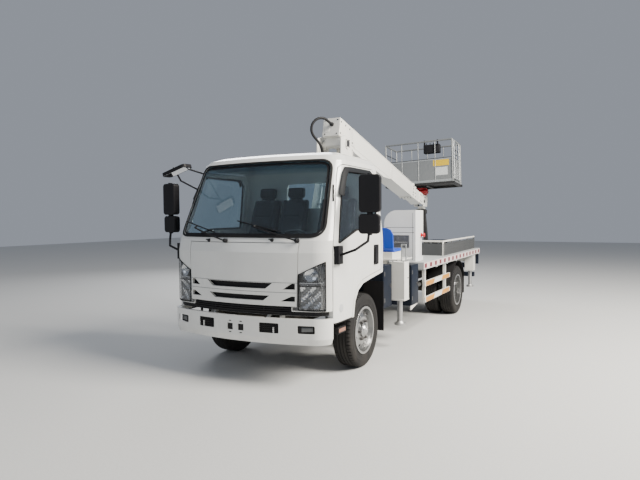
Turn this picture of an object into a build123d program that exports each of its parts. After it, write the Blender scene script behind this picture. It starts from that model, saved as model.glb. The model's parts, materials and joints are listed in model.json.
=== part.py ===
from build123d import *
from math import atan2, cos, degrees, hypot, radians, sin, tan
import os

# A light truck with a straight telescopic boom and a work basket, in millimetres.
# It is drawn from the ground under the middle of the front axle: +X is the truck's
# left, -Y its front and +Z up. The files have their origin under the middle of the box.

# Overall layout
wheelbase = 3815
front_overhang = 1130
rear_overhang = 1755
deck_half_width = 1100
running_gap = 6
seat_gap = 0.3
bore_gap = 0.05

# Wheels and axles
axle_height = 413
tyre_radius = 413
tyre_width = 232
rim_radius = 249
front_wheel_x = 838
twin_mean_x = 828
twin_spacing = 270
kingpin_x = 725
kingpin_radius = 17
spindle_radius = 34
steer_arm = 60

# Ladder frame
frame_half_width = 425
rail_height = 210
rail_flange = 68
rail_wall = 8
frame_top = 795
rail_front = -915

# Deck and aerial subframe
deck_top = 1040
deck_band = 100
deck_front = 1735
deck_plate = 6
subframe_top = 925
pedestal_y = 970
pedestal_radius = 330
pedestal_top = 1050
ring_height = 40
ring_radius = 370

# Cab
cab_wall = 40
cab_bow_radius = 3000
cab_front = -1090
cab_back = 490
cab_half_width = 990
cab_floor = 905
cab_floor_wall = 40
firewall = 125
lid_depth = 34
lid_half_width = 672
lid_low_half = 656
lid_bottom = 805
strip_top = 757
cab_bottom = 705
lid_top = 1424
panel_gap = 6
door_gap = 8
door_front = -848
door_rear = 400
glass_thickness = 6
glass_inset = 8
hinge_bar_y = -1075
hinge_bar_z = 640
hinge_bar_radius = 12
pocket_depth = lid_depth + 20
keeper_band = (930, 955)
step_x = (805, 950)
step_y = (-690, -520)
step_z = (500, 560)
step_hanger = 8

# Boom, with s along it from its pivot and t square to it
boom_pitch = -13
boom_pivot_y = 1200
boom_pivot_z = 2680
boom_wall = 6
boom_width = 245
boom_height = 255
boom_bottom_t = 66
boom_tail_s = -145
boom_end_s = 3145
section_step = 24
middle_collar = 5
middle_end_s = 3310
inner_end_s = 3760
head_pin_s = 3880
head_pin_t = 180
hose_end = (-90, 1004.1, 2460)
column_half_width = 186
column_plate = 16
belly_depth = 60
hose_fit_t = 226
hose_radius = 15

# Lifting cylinder
cylinder_foot = (1200, 1320)
cylinder_eye = (1420, 2500)
barrel_radius = 52
barrel_length = 830
ram_radius = 30
piston_start = 340

# Basket, at its photographed lean
basket_width = 1390
basket_depth = 680
basket_height = 835
basket_floor_z = 2310
basket_y = 5230
basket_x = 35
basket_pitch = -4
basket_roll = -2.4
swing_y = 5200
rail_tube = 16
drive_radius = 105
drive_height = 150

# Outriggers
front_jack = (1009, 996)
rear_jack = (985, 5190)
jack_box = 178
jack_box_wall = 8
jack_box_bottom = 620
jack_box_top = 1108
rear_jack_top = 1028
leg_radius = 35
foot_radius = 70
foot_bottom = 300
foot_height = 26
beam_height = 130
beam_width = 110
beam_wall = 10
beam_z = 872
hoop_radius = 7
hoop_height = 215
hoop_near = 23
hoop_far = 81

rear_end = wheelbase + rear_overhang
basket_reach = 5658
origin_y = (basket_reach - front_overhang) / 2
nodes = {}


def box(x0, x1, y0, y1, z0, z1):
    return Pos((x0 + x1) / 2, (y0 + y1) / 2, (z0 + z1) / 2) * Box(x1 - x0, y1 - y0, z1 - z0)


def both(shape):
    """The shape and its mirror image across the truck."""
    return [shape, mirror(shape, about=Plane.YZ)]


def joined(*shapes):
    """One shape from all that overlap or touch."""
    first = shapes[0]
    return first.fuse(*shapes[1:]) if len(shapes) > 1 else first


def loose(*shapes):
    """Several solids of one node that don't touch."""
    solids = []
    for shape in shapes:
        solids.extend(shape.solids())
    return Compound(children=solids)


def slab_x(points, x0, x1):
    """A plate between two X values, with its outline as (y, z) points."""
    outline = make_face(Polyline(*[(x0, y, z) for y, z in points], close=True))
    return extrude(outline, amount=x1 - x0, dir=(1, 0, 0))


def slab_y(points, y0, y1):
    """A plate between two Y values, with its outline as (x, z) points."""
    outline = make_face(Polyline(*[(x, y0, z) for x, z in points], close=True))
    return extrude(outline, amount=y1 - y0, dir=(0, 1, 0))


def slab_z(points, z0, z1):
    """A plate between two Z values, with its outline as (x, y) points."""
    outline = make_face(Polyline(*[(x, y, z0) for x, y in points], close=True))
    return extrude(outline, amount=z1 - z0, dir=(0, 0, 1))


def rod(start, end, radius):
    along = Vector(*end) - Vector(*start)
    return Solid.make_cylinder(radius, along.length, Plane(origin=start, z_dir=along))


def ring(start, end, outer, inner):
    along = Vector(*end) - Vector(*start)
    plane = Plane(origin=start, z_dir=along)
    return Solid.make_cylinder(outer, along.length, plane) - Solid.make_cylinder(inner, along.length, plane)


def turned_x(profile, x, y, z):
    """A solid of revolution about a line along X, with its outline as (x, r) points."""
    outline = make_face(Polyline(*[(x + px, y, z + pr) for px, pr in profile], close=True))
    return revolve(outline, axis=Axis((x, y, z), (1, 0, 0)), revolution_arc=360)


# Wheels

tyre_profile = [
    (-0.36, rim_radius + 1),
    (-0.47, rim_radius + 45),
    (-0.5, rim_radius + 95),
    (-0.45, tyre_radius - 22),
    (-0.36, tyre_radius),
    (0.36, tyre_radius),
    (0.45, tyre_radius - 22),
    (0.5, rim_radius + 95),
    (0.47, rim_radius + 45),
    (0.36, rim_radius + 1),
]


def tyre(x, y):
    return turned_x([(w * tyre_width, r) for w, r in tyre_profile], x, y, axle_height)


rim_wall = 9
hub_bore = spindle_radius + bore_gap
vent_count = 8
vent_ring = 178
vent_radius = 19
stud_count = 6
stud_ring = 104
stud_radius = 13


def wheel_disc(x, y, out, face, depth):
    """A rim: its barrel round x, and its disc with the bolting face at x + out * face, dished by depth."""
    half = tyre_width * 0.47
    barrel = [
        (-half, rim_radius + 0.7),
        (-half, rim_radius + 16),
        (-half + rim_wall, rim_radius + 16),
        (-half + rim_wall, rim_radius + 0.7),
        (half - rim_wall, rim_radius + 0.7),
        (half - rim_wall, rim_radius + 16),
        (half, rim_radius + 16),
        (half, rim_radius + 0.7),
        (half, rim_radius - rim_wall),
        (-half, rim_radius - rim_wall),
    ]
    barrel_solid = turned_x(barrel, x, y, axle_height)
    disc = [
        (out * (face - depth), rim_radius - rim_wall + 2),
        (out * (face - depth * 0.55), rim_radius - 38),
        (out * face, vent_ring - 32),
        (out * face, hub_bore + 40),
        (out * (face - 14), hub_bore + 40),
        (out * (face - 14), vent_ring - 40),
        (out * (face - 14 - depth * 0.55), rim_radius - 46),
        (out * (face - 14 - depth), rim_radius - rim_wall + 2),
    ]
    disc_solid = turned_x(disc, x, y, axle_height)
    tools = []
    for i in range(vent_count):
        turn = radians(360 / vent_count * (i + 0.5))
        vy = y + vent_ring * cos(turn)
        vz = axle_height + vent_ring * sin(turn)
        tools.append(
            rod((x + out * (face + 20), vy, vz), (x + out * (face - depth - 40), vy, vz), vent_radius)
        )
    return joined(barrel_solid, disc_solid.cut(*tools))


def hub(x, y, inner, outer, face, out):
    """A hub with its bore, from inner to outer, with wheel nuts on the disc's face."""
    reach = [
        (out * inner, hub_bore),
        (out * inner, hub_bore + 44),
        (out * outer * 0.5 + out * face * 0.5, hub_bore + 44),
        (out * (outer - 12), hub_bore + 30),
        (out * outer, hub_bore + 18),
        (out * outer, 0),
        (out * (outer - 10), 0),
        (out * (outer - 10), hub_bore),
    ]
    body = turned_x(reach, x, y, axle_height)
    nuts = []
    for i in range(stud_count):
        turn = radians(360 / stud_count * i)
        ny = y + stud_ring * cos(turn)
        nz = axle_height + stud_ring * sin(turn)
        nuts.append(rod((x + out * (face - 2), ny, nz), (x + out * (face + 22), ny, nz), stud_radius))
    return body, nuts


front_face = 82
front_dish = 46


def front_rim(side):
    x = side * front_wheel_x
    disc = wheel_disc(x, 0, side, front_face, front_dish)
    body, nuts = hub(x, 0, -20, 122, front_face, side)
    return joined(disc, body, *nuts)


rear_outer_x = twin_mean_x + twin_spacing / 2
rear_inner_x = twin_mean_x - twin_spacing / 2


def rear_rims(side):
    y = wheelbase
    outer = wheel_disc(side * rear_outer_x, y, -side, twin_spacing / 2, 46)
    inner = wheel_disc(side * rear_inner_x, y, side, twin_spacing / 2, 46)
    body, nuts = hub(side * twin_mean_x, y, -190, 178, 15, side)
    return joined(outer, inner, body, *nuts)


def wheels():
    for name, side in (("left", 1), ("right", -1)):
        nodes["tyre_front_" + name] = tyre(side * front_wheel_x, 0)
        nodes["rim_front_" + name] = front_rim(side)
        twins = [tyre(side * rear_outer_x, wheelbase), tyre(side * rear_inner_x, wheelbase)]
        nodes["tyres_rear_" + name] = loose(*twins)
        nodes["rims_rear_" + name] = rear_rims(side)


# Axles, springs and frame

pinion_reach = 300
eye_half = 40
ear_height = 38
ear_radius = 38


def front_axle():
    beam_points = [
        (-kingpin_x, axle_height + 28),
        (-560, axle_height + 6),
        (-430, axle_height - 40),
        (430, axle_height - 40),
        (560, axle_height + 6),
        (kingpin_x, axle_height + 28),
        (kingpin_x, axle_height - 30),
        (540, axle_height - 62),
        (400, axle_height - 118),
        (-400, axle_height - 118),
        (-540, axle_height - 62),
        (-kingpin_x, axle_height - 30),
    ]
    parts = [slab_y(beam_points, -32, 32)]
    for side in (-1, 1):
        x = side * kingpin_x
        parts.append(rod((x, 0, axle_height - eye_half), (x, 0, axle_height + eye_half), 34))
        low = axle_height - eye_half - ear_height
        high = axle_height + eye_half + ear_height
        parts.append(rod((x, 0, low), (x, 0, high), kingpin_radius))
    return joined(*parts)


def knuckle(side):
    """A steering knuckle: two ears round the kingpin, the wheel's spindle and its steering arm."""
    x = side * kingpin_x
    parts = []
    for low in (axle_height - eye_half - ear_height, axle_height + eye_half + seat_gap):
        high = low + ear_height - seat_gap
        parts.append(ring((x, 0, low), (x, 0, high), ear_radius, kingpin_radius + bore_gap))
    web_in = x + side * 42
    web_out = x + side * 62
    web = box(min(web_in, web_out), max(web_in, web_out), -44, 44, axle_height - 78, axle_height + 78)
    tie = box(
        min(x + side * 20, web_out),
        max(x + side * 20, web_out),
        -26,
        26,
        axle_height - 78,
        axle_height - 41,
    )
    cap = box(
        min(x + side * 20, web_out),
        max(x + side * 20, web_out),
        -26,
        26,
        axle_height + 41,
        axle_height + 78,
    )
    end = side * (front_wheel_x + 104)
    spindle = rod((web_out - side * 4, 0, axle_height), (end, 0, axle_height), spindle_radius)
    drum = ring(
        (web_out - side * 2, 0, axle_height), (web_out + side * 8, 0, axle_height), 120, spindle_radius - 2
    )
    arm = slab_z(
        [
            (x + side * 24, 20),
            (x + side * 60, 20),
            (x - side * steer_arm + side * 20, 190),
            (x - side * steer_arm - side * 20, 190),
        ],
        axle_height - 78,
        axle_height - 56,
    )
    cut = rod((x, 0, axle_height - 90), (x, 0, axle_height + 90), kingpin_radius + bore_gap)
    return joined(*parts, web, tie, cap, spindle, drum, arm) - cut


def rear_axle():
    y = wheelbase
    tube = rod((-630, y, axle_height), (630, y, axle_height), 58)
    casing_profile = [(-150, 40), (-110, 120), (-50, 172), (50, 172), (110, 120), (150, 40)]
    casing = turned_x(casing_profile, 0, y, axle_height)
    pinion = rod((0, y - pinion_reach, axle_height + 10), (0, y, axle_height + 10), 62)
    parts = [tube, casing, pinion]
    for side in (-1, 1):
        parts.append(rod((side * 520, y, axle_height), (side * 600, y, axle_height), 168))
        spindle_end = side * (twin_mean_x + 160)
        parts.append(rod((side * 590, y, axle_height), (spindle_end, y, axle_height), spindle_radius))
    return joined(*parts)


front_spring_z = axle_height - 40 + 6 * 14 + seat_gap
rear_spring_z = axle_height + 58 + 6 * 15 + seat_gap
spring_eye = 26


def spring_pack(x, y, half_length, width, base, leaves, leaf):
    """A leaf spring: leaves that shorten upwards or downwards, its two eyes and its clamps."""
    parts = []
    for i in range(leaves):
        reach = half_length * (1 - 0.16 * i)
        parts.append(
            box(x - width / 2, x + width / 2, y - reach, y + reach, base - leaf * (i + 1), base - leaf * i)
        )
    for end in (-1, 1):
        ey = y + end * half_length
        parts.append(rod((x - width / 2, ey, base), (x + width / 2, ey, base), spring_eye))
    return joined(*parts)


def leaf_springs():
    springs = []
    for side in (-1, 1):
        springs.append(spring_pack(side * 385, 0, 620, 70, front_spring_z, 6, 14))
        springs.append(spring_pack(side * 480, wheelbase, 640, 70, rear_spring_z, 6, 15))
    return loose(*springs)


def frame_rails():
    """Two channel rails, open inwards, with their cross members and spring hangers."""
    parts = []
    low = frame_top - rail_height
    rear = rear_end - 90
    for side in (-1, 1):
        outer = side * frame_half_width
        web = box(
            min(outer, outer - side * rail_wall),
            max(outer, outer - side * rail_wall),
            rail_front,
            rear,
            low,
            frame_top,
        )
        flange_in = outer - side * rail_flange
        top = box(
            min(outer, flange_in), max(outer, flange_in), rail_front, rear, frame_top - rail_wall, frame_top
        )
        bottom = box(min(outer, flange_in), max(outer, flange_in), rail_front, rear, low, low + rail_wall)
        parts += [web, top, bottom]
        for y in (-620, 620):
            parts.append(
                box(
                    side * 385 - 30,
                    side * 385 + 30,
                    y - 30,
                    y + 30,
                    front_spring_z + spring_eye + seat_gap,
                    low + 2,
                )
            )
        for y in (wheelbase - 640, wheelbase + 640):
            hanger = box(
                min(outer, side * 520),
                max(outer, side * 520),
                y - 35,
                y + 35,
                rear_spring_z + spring_eye + seat_gap,
                low + 80,
            )
            parts.append(hanger)
        lug = slab_x(
            [
                (-868, 610),
                (-868, 690),
                (-1000, 690),
                (hinge_bar_y - 14, hinge_bar_z + 18),
                (hinge_bar_y - 22, hinge_bar_z),
                (hinge_bar_y - 8, hinge_bar_z - 22),
                (-980, 590),
            ],
            min(side * 300, side * 318),
            max(side * 300, side * 318),
        )
        parts.append(lug)
        parts.append(
            rod(
                (side * 270, hinge_bar_y, hinge_bar_z),
                (side * 348, hinge_bar_y, hinge_bar_z),
                hinge_bar_radius,
            )
        )
    for y in (-880, 1140, 1560, 2500, 3300, 4330, 5300):
        parts.append(
            box(
                -frame_half_width + 2, frame_half_width - 2, y - 30, y + 30, frame_top - 135, frame_top - 30
            )
        )
    return joined(*parts)


def power_unit():
    engine = box(-290, 290, -420, 430, 480, 1035)
    gearbox = slab_x([(430, 520), (430, 900), (560, 800), (1040, 720), (1040, 520)], -150, 150)
    shaft_tilt = (600 - axle_height - 24) / (wheelbase - pinion_reach - 1030)
    shaft_end = wheelbase - pinion_reach - shaft_tilt * 45 - seat_gap
    shaft = rod((0, 1030, 600), (0, shaft_end, axle_height + 24), 45)
    return joined(engine, gearbox, shaft)


def fuel_tank():
    body = box(-960, -520, 2080, 2900, 470, 850)
    body = fillet(body.edges().filter_by(Axis.Y), 50)
    straps = []
    for y in (2240, 2740):
        straps.append(box(-524, -frame_half_width, y - 22, y + 22, 620, 780))
    return joined(body, *straps)


def exhaust():
    muffler = rod((600, 1900, 560), (600, 2700, 560), 110)
    front = rod((600, 1560, 560), (600, 1900, 560), 34)
    tail = rod((600, 2700, 560), (600, 3120, 560), 34)
    mounts = [box(frame_half_width, 600, y - 15, y + 15, 620, 700) for y in (2065, 2535)]
    return joined(muffler, front, tail, *mounts)


# Cab

cab_sections = [
    # height, front, half width, back, corner radius
    (600, cab_front, cab_half_width - 5, cab_back, 240),
    (1330, cab_front + 2, cab_half_width, cab_back, 240),
    (1450, cab_front + 28, cab_half_width - 2, cab_back, 240),
    (2270, -665, 905, cab_back - 15, 205),
    (2330, -595, 860, cab_back - 40, 180),
    (2366, -470, 760, cab_back - 110, 140),
]


def cab_outline(height, front, half, back, corner, inset=0, front_inset=None):
    """The cab's outline at one height: a bowed front, two straight sides and a flat back."""
    ahead = inset if front_inset is None else front_inset
    half = half - inset
    front = front + ahead
    back = back - inset
    radius = cab_bow_radius
    sag = radius - (radius**2 - half**2) ** 0.5
    bow = ThreePointArc((half, front + sag), (0, front), (-half, front + sag))
    rest = Polyline((-half, front + sag), (-half, back), (half, back), (half, front + sag))
    outline = make_face(Curve() + [bow, rest])
    corners = outline.vertices().sort_by(Axis.Y)
    outline = fillet(corners[:2], max(corner - inset * 0.8, 40))
    outline = fillet(outline.vertices().group_by(Axis.Y)[-1], max(50 - inset * 0.5, 12))
    return Pos(0, 0, height) * outline


def cab_form(inset=0, sections=None):
    faces = [cab_outline(*row, inset=inset) for row in (sections or cab_sections)]
    return loft(faces, ruled=True)


def cab_void(gap=0):
    """The room inside the cab behind its firewall, drawn in all round by gap."""
    lower = [
        (cab_floor, cab_front, cab_half_width - 5, cab_back, 240),
        (1440, cab_front + 26, cab_half_width - 2, cab_back, 240),
    ]
    low_faces = [cab_outline(*row, inset=cab_wall + gap, front_inset=firewall + gap) for row in lower]
    upper = [
        (1440, cab_front + 26, cab_half_width - 2, cab_back, 240),
        (2248, -677, 907, cab_back - 15, 205),
        (2322, -560, 830, cab_back - 50, 180),
    ]
    high_faces = [cab_outline(*row, inset=cab_wall + gap) for row in upper]
    return joined(loft(low_faces, ruled=True), loft(high_faces, ruled=True))


arch_line = [
    (-390, 560), (-385, 640), (-350, 790), (-270, 895), (-140, 955), (80, 985), (560, 1040), (560, 560)
]
wheelhouse_in = 520
hump_half = 330
hump_top = 1075
hump_front = -640


def raised_arch(lift):
    """The wheel arch line moved out by a wall's thickness."""
    return [(y - (lift if y < 500 else -lift), z + (lift if z > 600 else 0)) for y, z in arch_line]


windscreen_line = [(-895, 1486), (895, 1486), (820, 2262), (-820, 2262)]
rear_glass_line = [(-325, 1790), (325, 1790), (320, 2100), (-320, 2100)]
door_line = [
    (door_front, 628),
    (door_front, 1340),
    (door_front + 22, 1450),
    (-574, 2100),
    (-530, 2190),
    (-470, 2225),
    (310, 2225),
    (door_rear, 2140),
    (door_rear, 1060),
    (80, 1025),
    (-160, 992),
    (-300, 925),
    (-385, 805),
    (-425, 640),
    (-428, 628),
]
door_glass_line = [
    (-772, 1404),
    (-285, 1530),
    (325, 1536),
    (325, 2090),
    (255, 2165),
    (-450, 2165),
    (-515, 2100),
]
lamp_line = [
    (612, 766),
    (612, lid_bottom - 8),
    (lid_low_half + panel_gap, lid_bottom - 8),
    (lid_half_width - 2, 1122),
    (925, 1248),
    (925, 758),
]


def shrunk(points, gap):
    """An outline moved in by a gap all round."""
    face = make_face(Polyline(*[(a, b) for a, b in points], close=True))
    inner = offset(face, amount=-gap, kind=Kind.INTERSECTION)
    return inner


def prism_x(points, gap, x0, x1, rounding=0):
    """A prism along X whose (y, z) outline is moved in by gap."""
    face = shrunk(points, gap) if gap else make_face(Polyline(*points, close=True))
    if rounding:
        face = fillet(face.vertices(), rounding)
    placed = Plane(origin=(x0, 0, 0), x_dir=(0, 1, 0), z_dir=(1, 0, 0)) * face
    return extrude(placed, amount=x1 - x0, dir=(1, 0, 0))


def prism_y(points, gap, y0, y1, rounding=0):
    """A prism along Y whose (x, z) outline is moved in by gap."""
    face = shrunk(points, gap) if gap else make_face(Polyline(*points, close=True))
    if rounding:
        face = fillet(face.vertices(), rounding)
    placed = Plane(origin=(0, y0, 0), x_dir=(1, 0, 0), z_dir=(0, -1, 0)) * face
    return extrude(placed, amount=y1 - y0, dir=(0, 1, 0))


lid_line = [
    (-lid_low_half, lid_bottom),
    (lid_low_half, lid_bottom),
    (lid_half_width, lid_top),
    (-lid_half_width, lid_top),
]


def cab_parts():
    outer = cab_form()
    void = cab_void()
    houses = []
    for low, high in ((-1000, -wheelhouse_in + cab_wall), (wheelhouse_in - cab_wall, 1000)):
        houses.append(slab_x(raised_arch(cab_wall), low, high))
    hump_skin = box(
        -hump_half - cab_wall, hump_half + cab_wall, hump_front - cab_wall, 600, 850, hump_top + cab_wall
    )
    room = void.cut(*houses, hump_skin)
    shell = outer - room

    under_line = cab_outline(
        500, cab_front, cab_half_width - 5, cab_back + 80, 240, inset=cab_wall, front_inset=firewall
    )
    under = extrude(under_line, amount=cab_floor - cab_floor_wall - 500, dir=(0, 0, 1))
    hump = box(-hump_half, hump_half, hump_front, 560, 500, hump_top)
    arches = [slab_x(arch_line, -1050, -wheelhouse_in), slab_x(arch_line, wheelhouse_in, 1050)]
    front_trim = box(-1050, 1050, cab_front - 60, door_front, 500, cab_bottom)
    sill_trim = box(-1050, 1050, door_front - 1, 600, 500, 628)
    back_trim = box(-1050, 1050, 60, 560, 500, cab_floor - cab_floor_wall)
    shell = shell.cut(under, hump, *arches, front_trim, sill_trim, back_trim)

    screen_hole = prism_y(windscreen_line, 0, -1200, -500, 120)
    rear_hole = prism_y(rear_glass_line, 0, 300, 600, 60)
    shell = shell.cut(screen_hole, rear_hole)
    door_hole = prism_x(door_line, 0, 820, 1050)
    shell = shell.cut(*both(door_hole))

    front_skin = outer - cab_form(inset=pocket_depth, sections=cab_sections[:3])
    lid_pocket = front_skin & prism_y(lid_line, -panel_gap, -1200, -800)
    chin = front_skin & box(-606, 606, -1200, -800, cab_bottom - 20, lid_bottom)
    strip = front_skin & box(-1050, 1050, -1200, door_front, cab_bottom - 20, strip_top)
    shell = shell.cut(lid_pocket, chin, strip)
    lamp_tool = prism_y(lamp_line, 0, -1200, -840)
    lamp_skin = outer - cab_form(inset=62, sections=cab_sections[:3])
    lamp_pocket = lamp_skin & lamp_tool
    shell = shell.cut(*both(lamp_pocket))

    stop_skin = cab_form(inset=lid_depth + seat_gap, sections=cab_sections[:3]) - cab_form(
        inset=pocket_depth + 4, sections=cab_sections[:3]
    )
    stops = []
    for x in (-600, 600):
        stops.append(stop_skin & box(x - 30, x + 30, -1200, -800, 1062, 1084))
        stops.append(stop_skin & box(x - 30, x + 30, -1200, -800, 1300, 1322))
    arms = []
    for side in (-1, 1):
        arm = slab_x(
            [
                (-1012, 780),
                (-1012, 712),
                (hinge_bar_y - 22, hinge_bar_z + 6),
                (hinge_bar_y - 14, hinge_bar_z - 18),
                (hinge_bar_y + 14, hinge_bar_z - 18),
                (-955, 720),
                (-955, 780),
            ],
            min(side * 324, side * 342),
            max(side * 324, side * 342),
        )
        arms.append(arm)
    eye = rod(
        (-400, hinge_bar_y, hinge_bar_z), (400, hinge_bar_y, hinge_bar_z), hinge_bar_radius + bore_gap
    )
    keepers = []
    for low, high in ((790, 850), (1250, 1310)):
        keeper = (outer - cab_form(inset=30)) & box(
            *keeper_band, door_front - 20, door_front + door_gap - seat_gap, low, high
        )
        keepers.append(keeper)
    striker = (outer - cab_form(inset=12)) & box(900, 1000, 388 + seat_gap * 2, door_rear + 20, 1180, 1240)
    hinges = []
    for piece in (*keepers, striker):
        hinges += both(piece)
    shell = joined(shell, *arms, *stops, *hinges) - eye
    nodes["cab_shell"] = shell

    skin = cab_form(inset=glass_inset, sections=cab_sections[2:5]) - cab_form(
        inset=glass_inset + glass_thickness, sections=cab_sections[2:5]
    )
    screen = skin & prism_y(windscreen_line, seat_gap, -1200, -400, 120)
    screen = screen.solids().sort_by(Axis.Y)[0]
    back = box(-700, 700, cab_back - 35, cab_back - 35 + glass_thickness, 1500, 2200) & prism_y(
        rear_glass_line, seat_gap, 300, 600, 60
    )
    nodes["cab_glass"] = loose(screen, back)

    lid_skin = outer - cab_form(inset=lid_depth, sections=cab_sections[:3])
    lid = lid_skin & prism_y(lid_line, 0, -1200, -800)
    lid = lid.solids().sort_by(Axis.Y)[0]
    slot_tools = []
    for points in slot_lines:
        slot_tools.append(slab_y(points, -1200, -900))
    nodes["front_lid"] = lid.cut(*slot_tools)
    return outer, lamp_skin, lamp_tool


slot_rows = [
    # top, low: heights; wide, narrow: the middle slot's half widths;
    # then the side slots' outer and inner edges, each at the top and the bottom
    (1030, 970, 405, 325, 640, 640, 600, 515),
    (904, 852, 372, 300, 640, 640, 600, 490),
]
slot_lines = []
for top, low, wide, narrow, out_top, out_low, in_top, in_low in slot_rows:
    slot_lines.append([(-wide, top), (wide, top), (narrow, low), (-narrow, low)])
    for side in (1, -1):
        slot_lines.append(
            [(side * in_top, top), (side * out_top, top), (side * out_low, low), (side * in_low, low)]
        )


def front_shell(near, far):
    """The layer of the cab's front between two depths under its surface."""
    return cab_form(inset=near, sections=cab_sections[:2]) - cab_form(inset=far, sections=cab_sections[:2])


def grille():
    """Black mesh behind the lid's slots, with the bars and the dark band under the lid."""
    back = front_shell(pocket_depth - 8, pocket_depth - seat_gap)
    parts = [back & box(-654, 654, -1200, -900, lid_bottom, 1045)]
    low_back = back & box(-600, 600, -1200, -900, 714, lid_bottom + 1)
    parts.append(low_back)
    layer = front_shell(8, pocket_depth - 7)
    for z in (741, 762, 783):
        parts.append(layer & box(-600, 600, -1200, -900, z - 6, z + 6))
    layer = front_shell(14, pocket_depth - 7)
    for x in (-594, -300, 0, 300, 594):
        parts.append(layer & box(x - 6, x + 6, -1200, -900, 735, 796))
    layer = front_shell(30, pocket_depth - seat_gap)
    parts.append(layer & box(-1050, 1050, -1200, door_front - 5, cab_bottom + 7, 736))
    parts.append(layer & box(597, 1050, -1200, door_front - 5, cab_bottom + 7, strip_top - 2))
    parts.append(layer & box(-1050, -597, -1200, door_front - 5, cab_bottom + 7, strip_top - 2))
    return joined(*parts)


def headlamps(lamp_skin, lamp_tool):
    small = prism_y(lamp_line, 2, -1200, -842)
    lamp = (lamp_skin & small).solids().sort_by(SortBy.VOLUME)[-1]
    return loose(*both(lamp))


def doors(outer):
    inner = cab_form(inset=cab_wall, sections=cab_sections)
    skin = outer - inner
    glass_skin = cab_form(inset=glass_inset) - cab_form(inset=glass_inset + glass_thickness)
    for name, side in (("left", 1), ("right", -1)):
        low, high = (820, 1050) if side > 0 else (-1050, -820)
        panel = skin & prism_x(door_line, door_gap, low, high)
        panel = panel.solids().sort_by(SortBy.VOLUME)[-1]
        hole = prism_x(door_glass_line, 0, low, high, 30)
        nodes["door_" + name] = panel - hole - box(-1050, 1050, door_rear - 12, 500, 500, 2400)
        glass = glass_skin & prism_x(door_glass_line, seat_gap, low, high, 30)
        nodes["door_glass_" + name] = glass.solids().sort_by(SortBy.VOLUME)[-1]


def cab_interior():
    """The dashboard with its hood, the column and the steering wheel, joined as they are in the cab."""
    dash = slab_x(
        [
            (-1050, 1180),
            (-1050, 1470),
            (-900, 1480),
            (-760, 1440),
            (-690, 1360),
            (-700, 1230),
            (-780, 1170),
        ],
        -925,
        925,
    )
    hood = slab_x([(-860, 1440), (-800, 1500), (-720, 1490), (-690, 1400), (-760, 1380)], 280, 640)
    centre = (460, -560, 1420)
    lean = Vector(0, -0.62, -0.78).normalized()
    column_end = Vector(*centre) + lean * 420
    column = rod(centre, tuple(column_end), 38)
    wheel_plane = Plane(origin=centre, z_dir=-lean)
    rim = Solid.make_torus(195, 15, wheel_plane)
    spokes = []
    for turn in (-90, 30, 150):
        tip = wheel_plane.from_local_coords(Vector(190 * cos(radians(turn)), 190 * sin(radians(turn)), 0))
        spokes.append(rod(centre, tuple(tip), 12))
    boss = rod(centre, tuple(Vector(*centre) - lean * 22), 60)
    return joined(joined(dash, hood) & cab_void(seat_gap), column, rim, boss, *spokes)


def cab_seats():
    """Seat cushions and backs, each a crowned block on the raised floor."""
    seats = []
    for x, half in ((460, 250), (-140, 200), (-560, 210)):
        cushion = box(x - half, x + half, -250, 230, 1190, 1310)
        cushion = fillet(cushion.edges().filter_by(Axis.Y), 30)
        base = 1310 + seat_gap
        back = slab_x([(110, base), (290, base), (420, 1900), (330, 1920)], x - half + 10, x + half - 10)
        rest = slab_x([(330, 1940), (418, 1920), (424, 2060), (350, 2070)], x - 120, x + 120)
        posts = [rod((x + i * 55, 374, 1890), (x + i * 55, 388, 1960), 7) for i in (-1, 1)]
        seats += [cushion, joined(back, rest, *posts)]
    return loose(*seats)


def seat_base():
    """The raised floor that the seats stand on, over the wheelhouses and the engine."""
    return box(-890, 890, -330, 430, hump_top + cab_wall, 1190)


def door_step():
    """The step under the left door, with two plates that hang it from the cab's floor."""
    tread = box(*step_x, *step_y, *step_z)
    hangers = []
    for y in (step_y[0], step_y[1] - 30):
        hangers.append(box(step_x[0], step_x[0] + step_hanger, y, y + 30, step_z[1] - 2, cab_floor - 5))
    return joined(tread, *hangers)


def cab_inside():
    shell = nodes["cab_shell"]
    base = seat_base() - box(
        -hump_half - cab_wall, hump_half + cab_wall, -700, 600, 500, hump_top + cab_wall
    )
    nodes["cab_shell"] = joined(shell, base, *both(door_step()))


def mirror_head(half, depth, height):
    """A mirror's housing with a well rounded outline and softened rims."""
    head = box(-half, half, -depth, depth, -height, height)
    head = fillet(head.edges().filter_by(Axis.Y), 38)
    return fillet(head.faces().filter_by(Axis.Y).edges(), 14)


def mirrors(side):
    """A door's mirror stay with the main mirror and the wide-angle mirror under it."""
    x0 = side * (cab_half_width + 1)
    base = box(min(side * 930, x0 + side * 34), max(side * 930, x0 + side * 34), -830, -728, 1215, 1395)
    base = base - cab_form(inset=-seat_gap, sections=cab_sections[:3])
    elbow = [
        (x0 + side * 20, -785, 1300),
        (side * 1180, -780, 1360),
        (side * 1270, -680, 1440),
        (side * 1275, -655, 1560),
        (side * 1275, -655, 2040),
    ]
    stay = []
    for a, b in zip(elbow, elbow[1:]):
        stay.append(rod(a, b, 13))
        stay.append(Pos(*b) * Sphere(13))
    main = mirror_head(107, 45, 185)
    low = mirror_head(105, 42, 98)
    turn = side * 12
    main = Pos(side * 1278, -640, 1905) * Rot(0, 0, turn) * main
    low = Pos(side * 1272, -640, 1608) * Rot(0, 0, turn) * low
    return joined(base, *stay, main, low)


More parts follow.
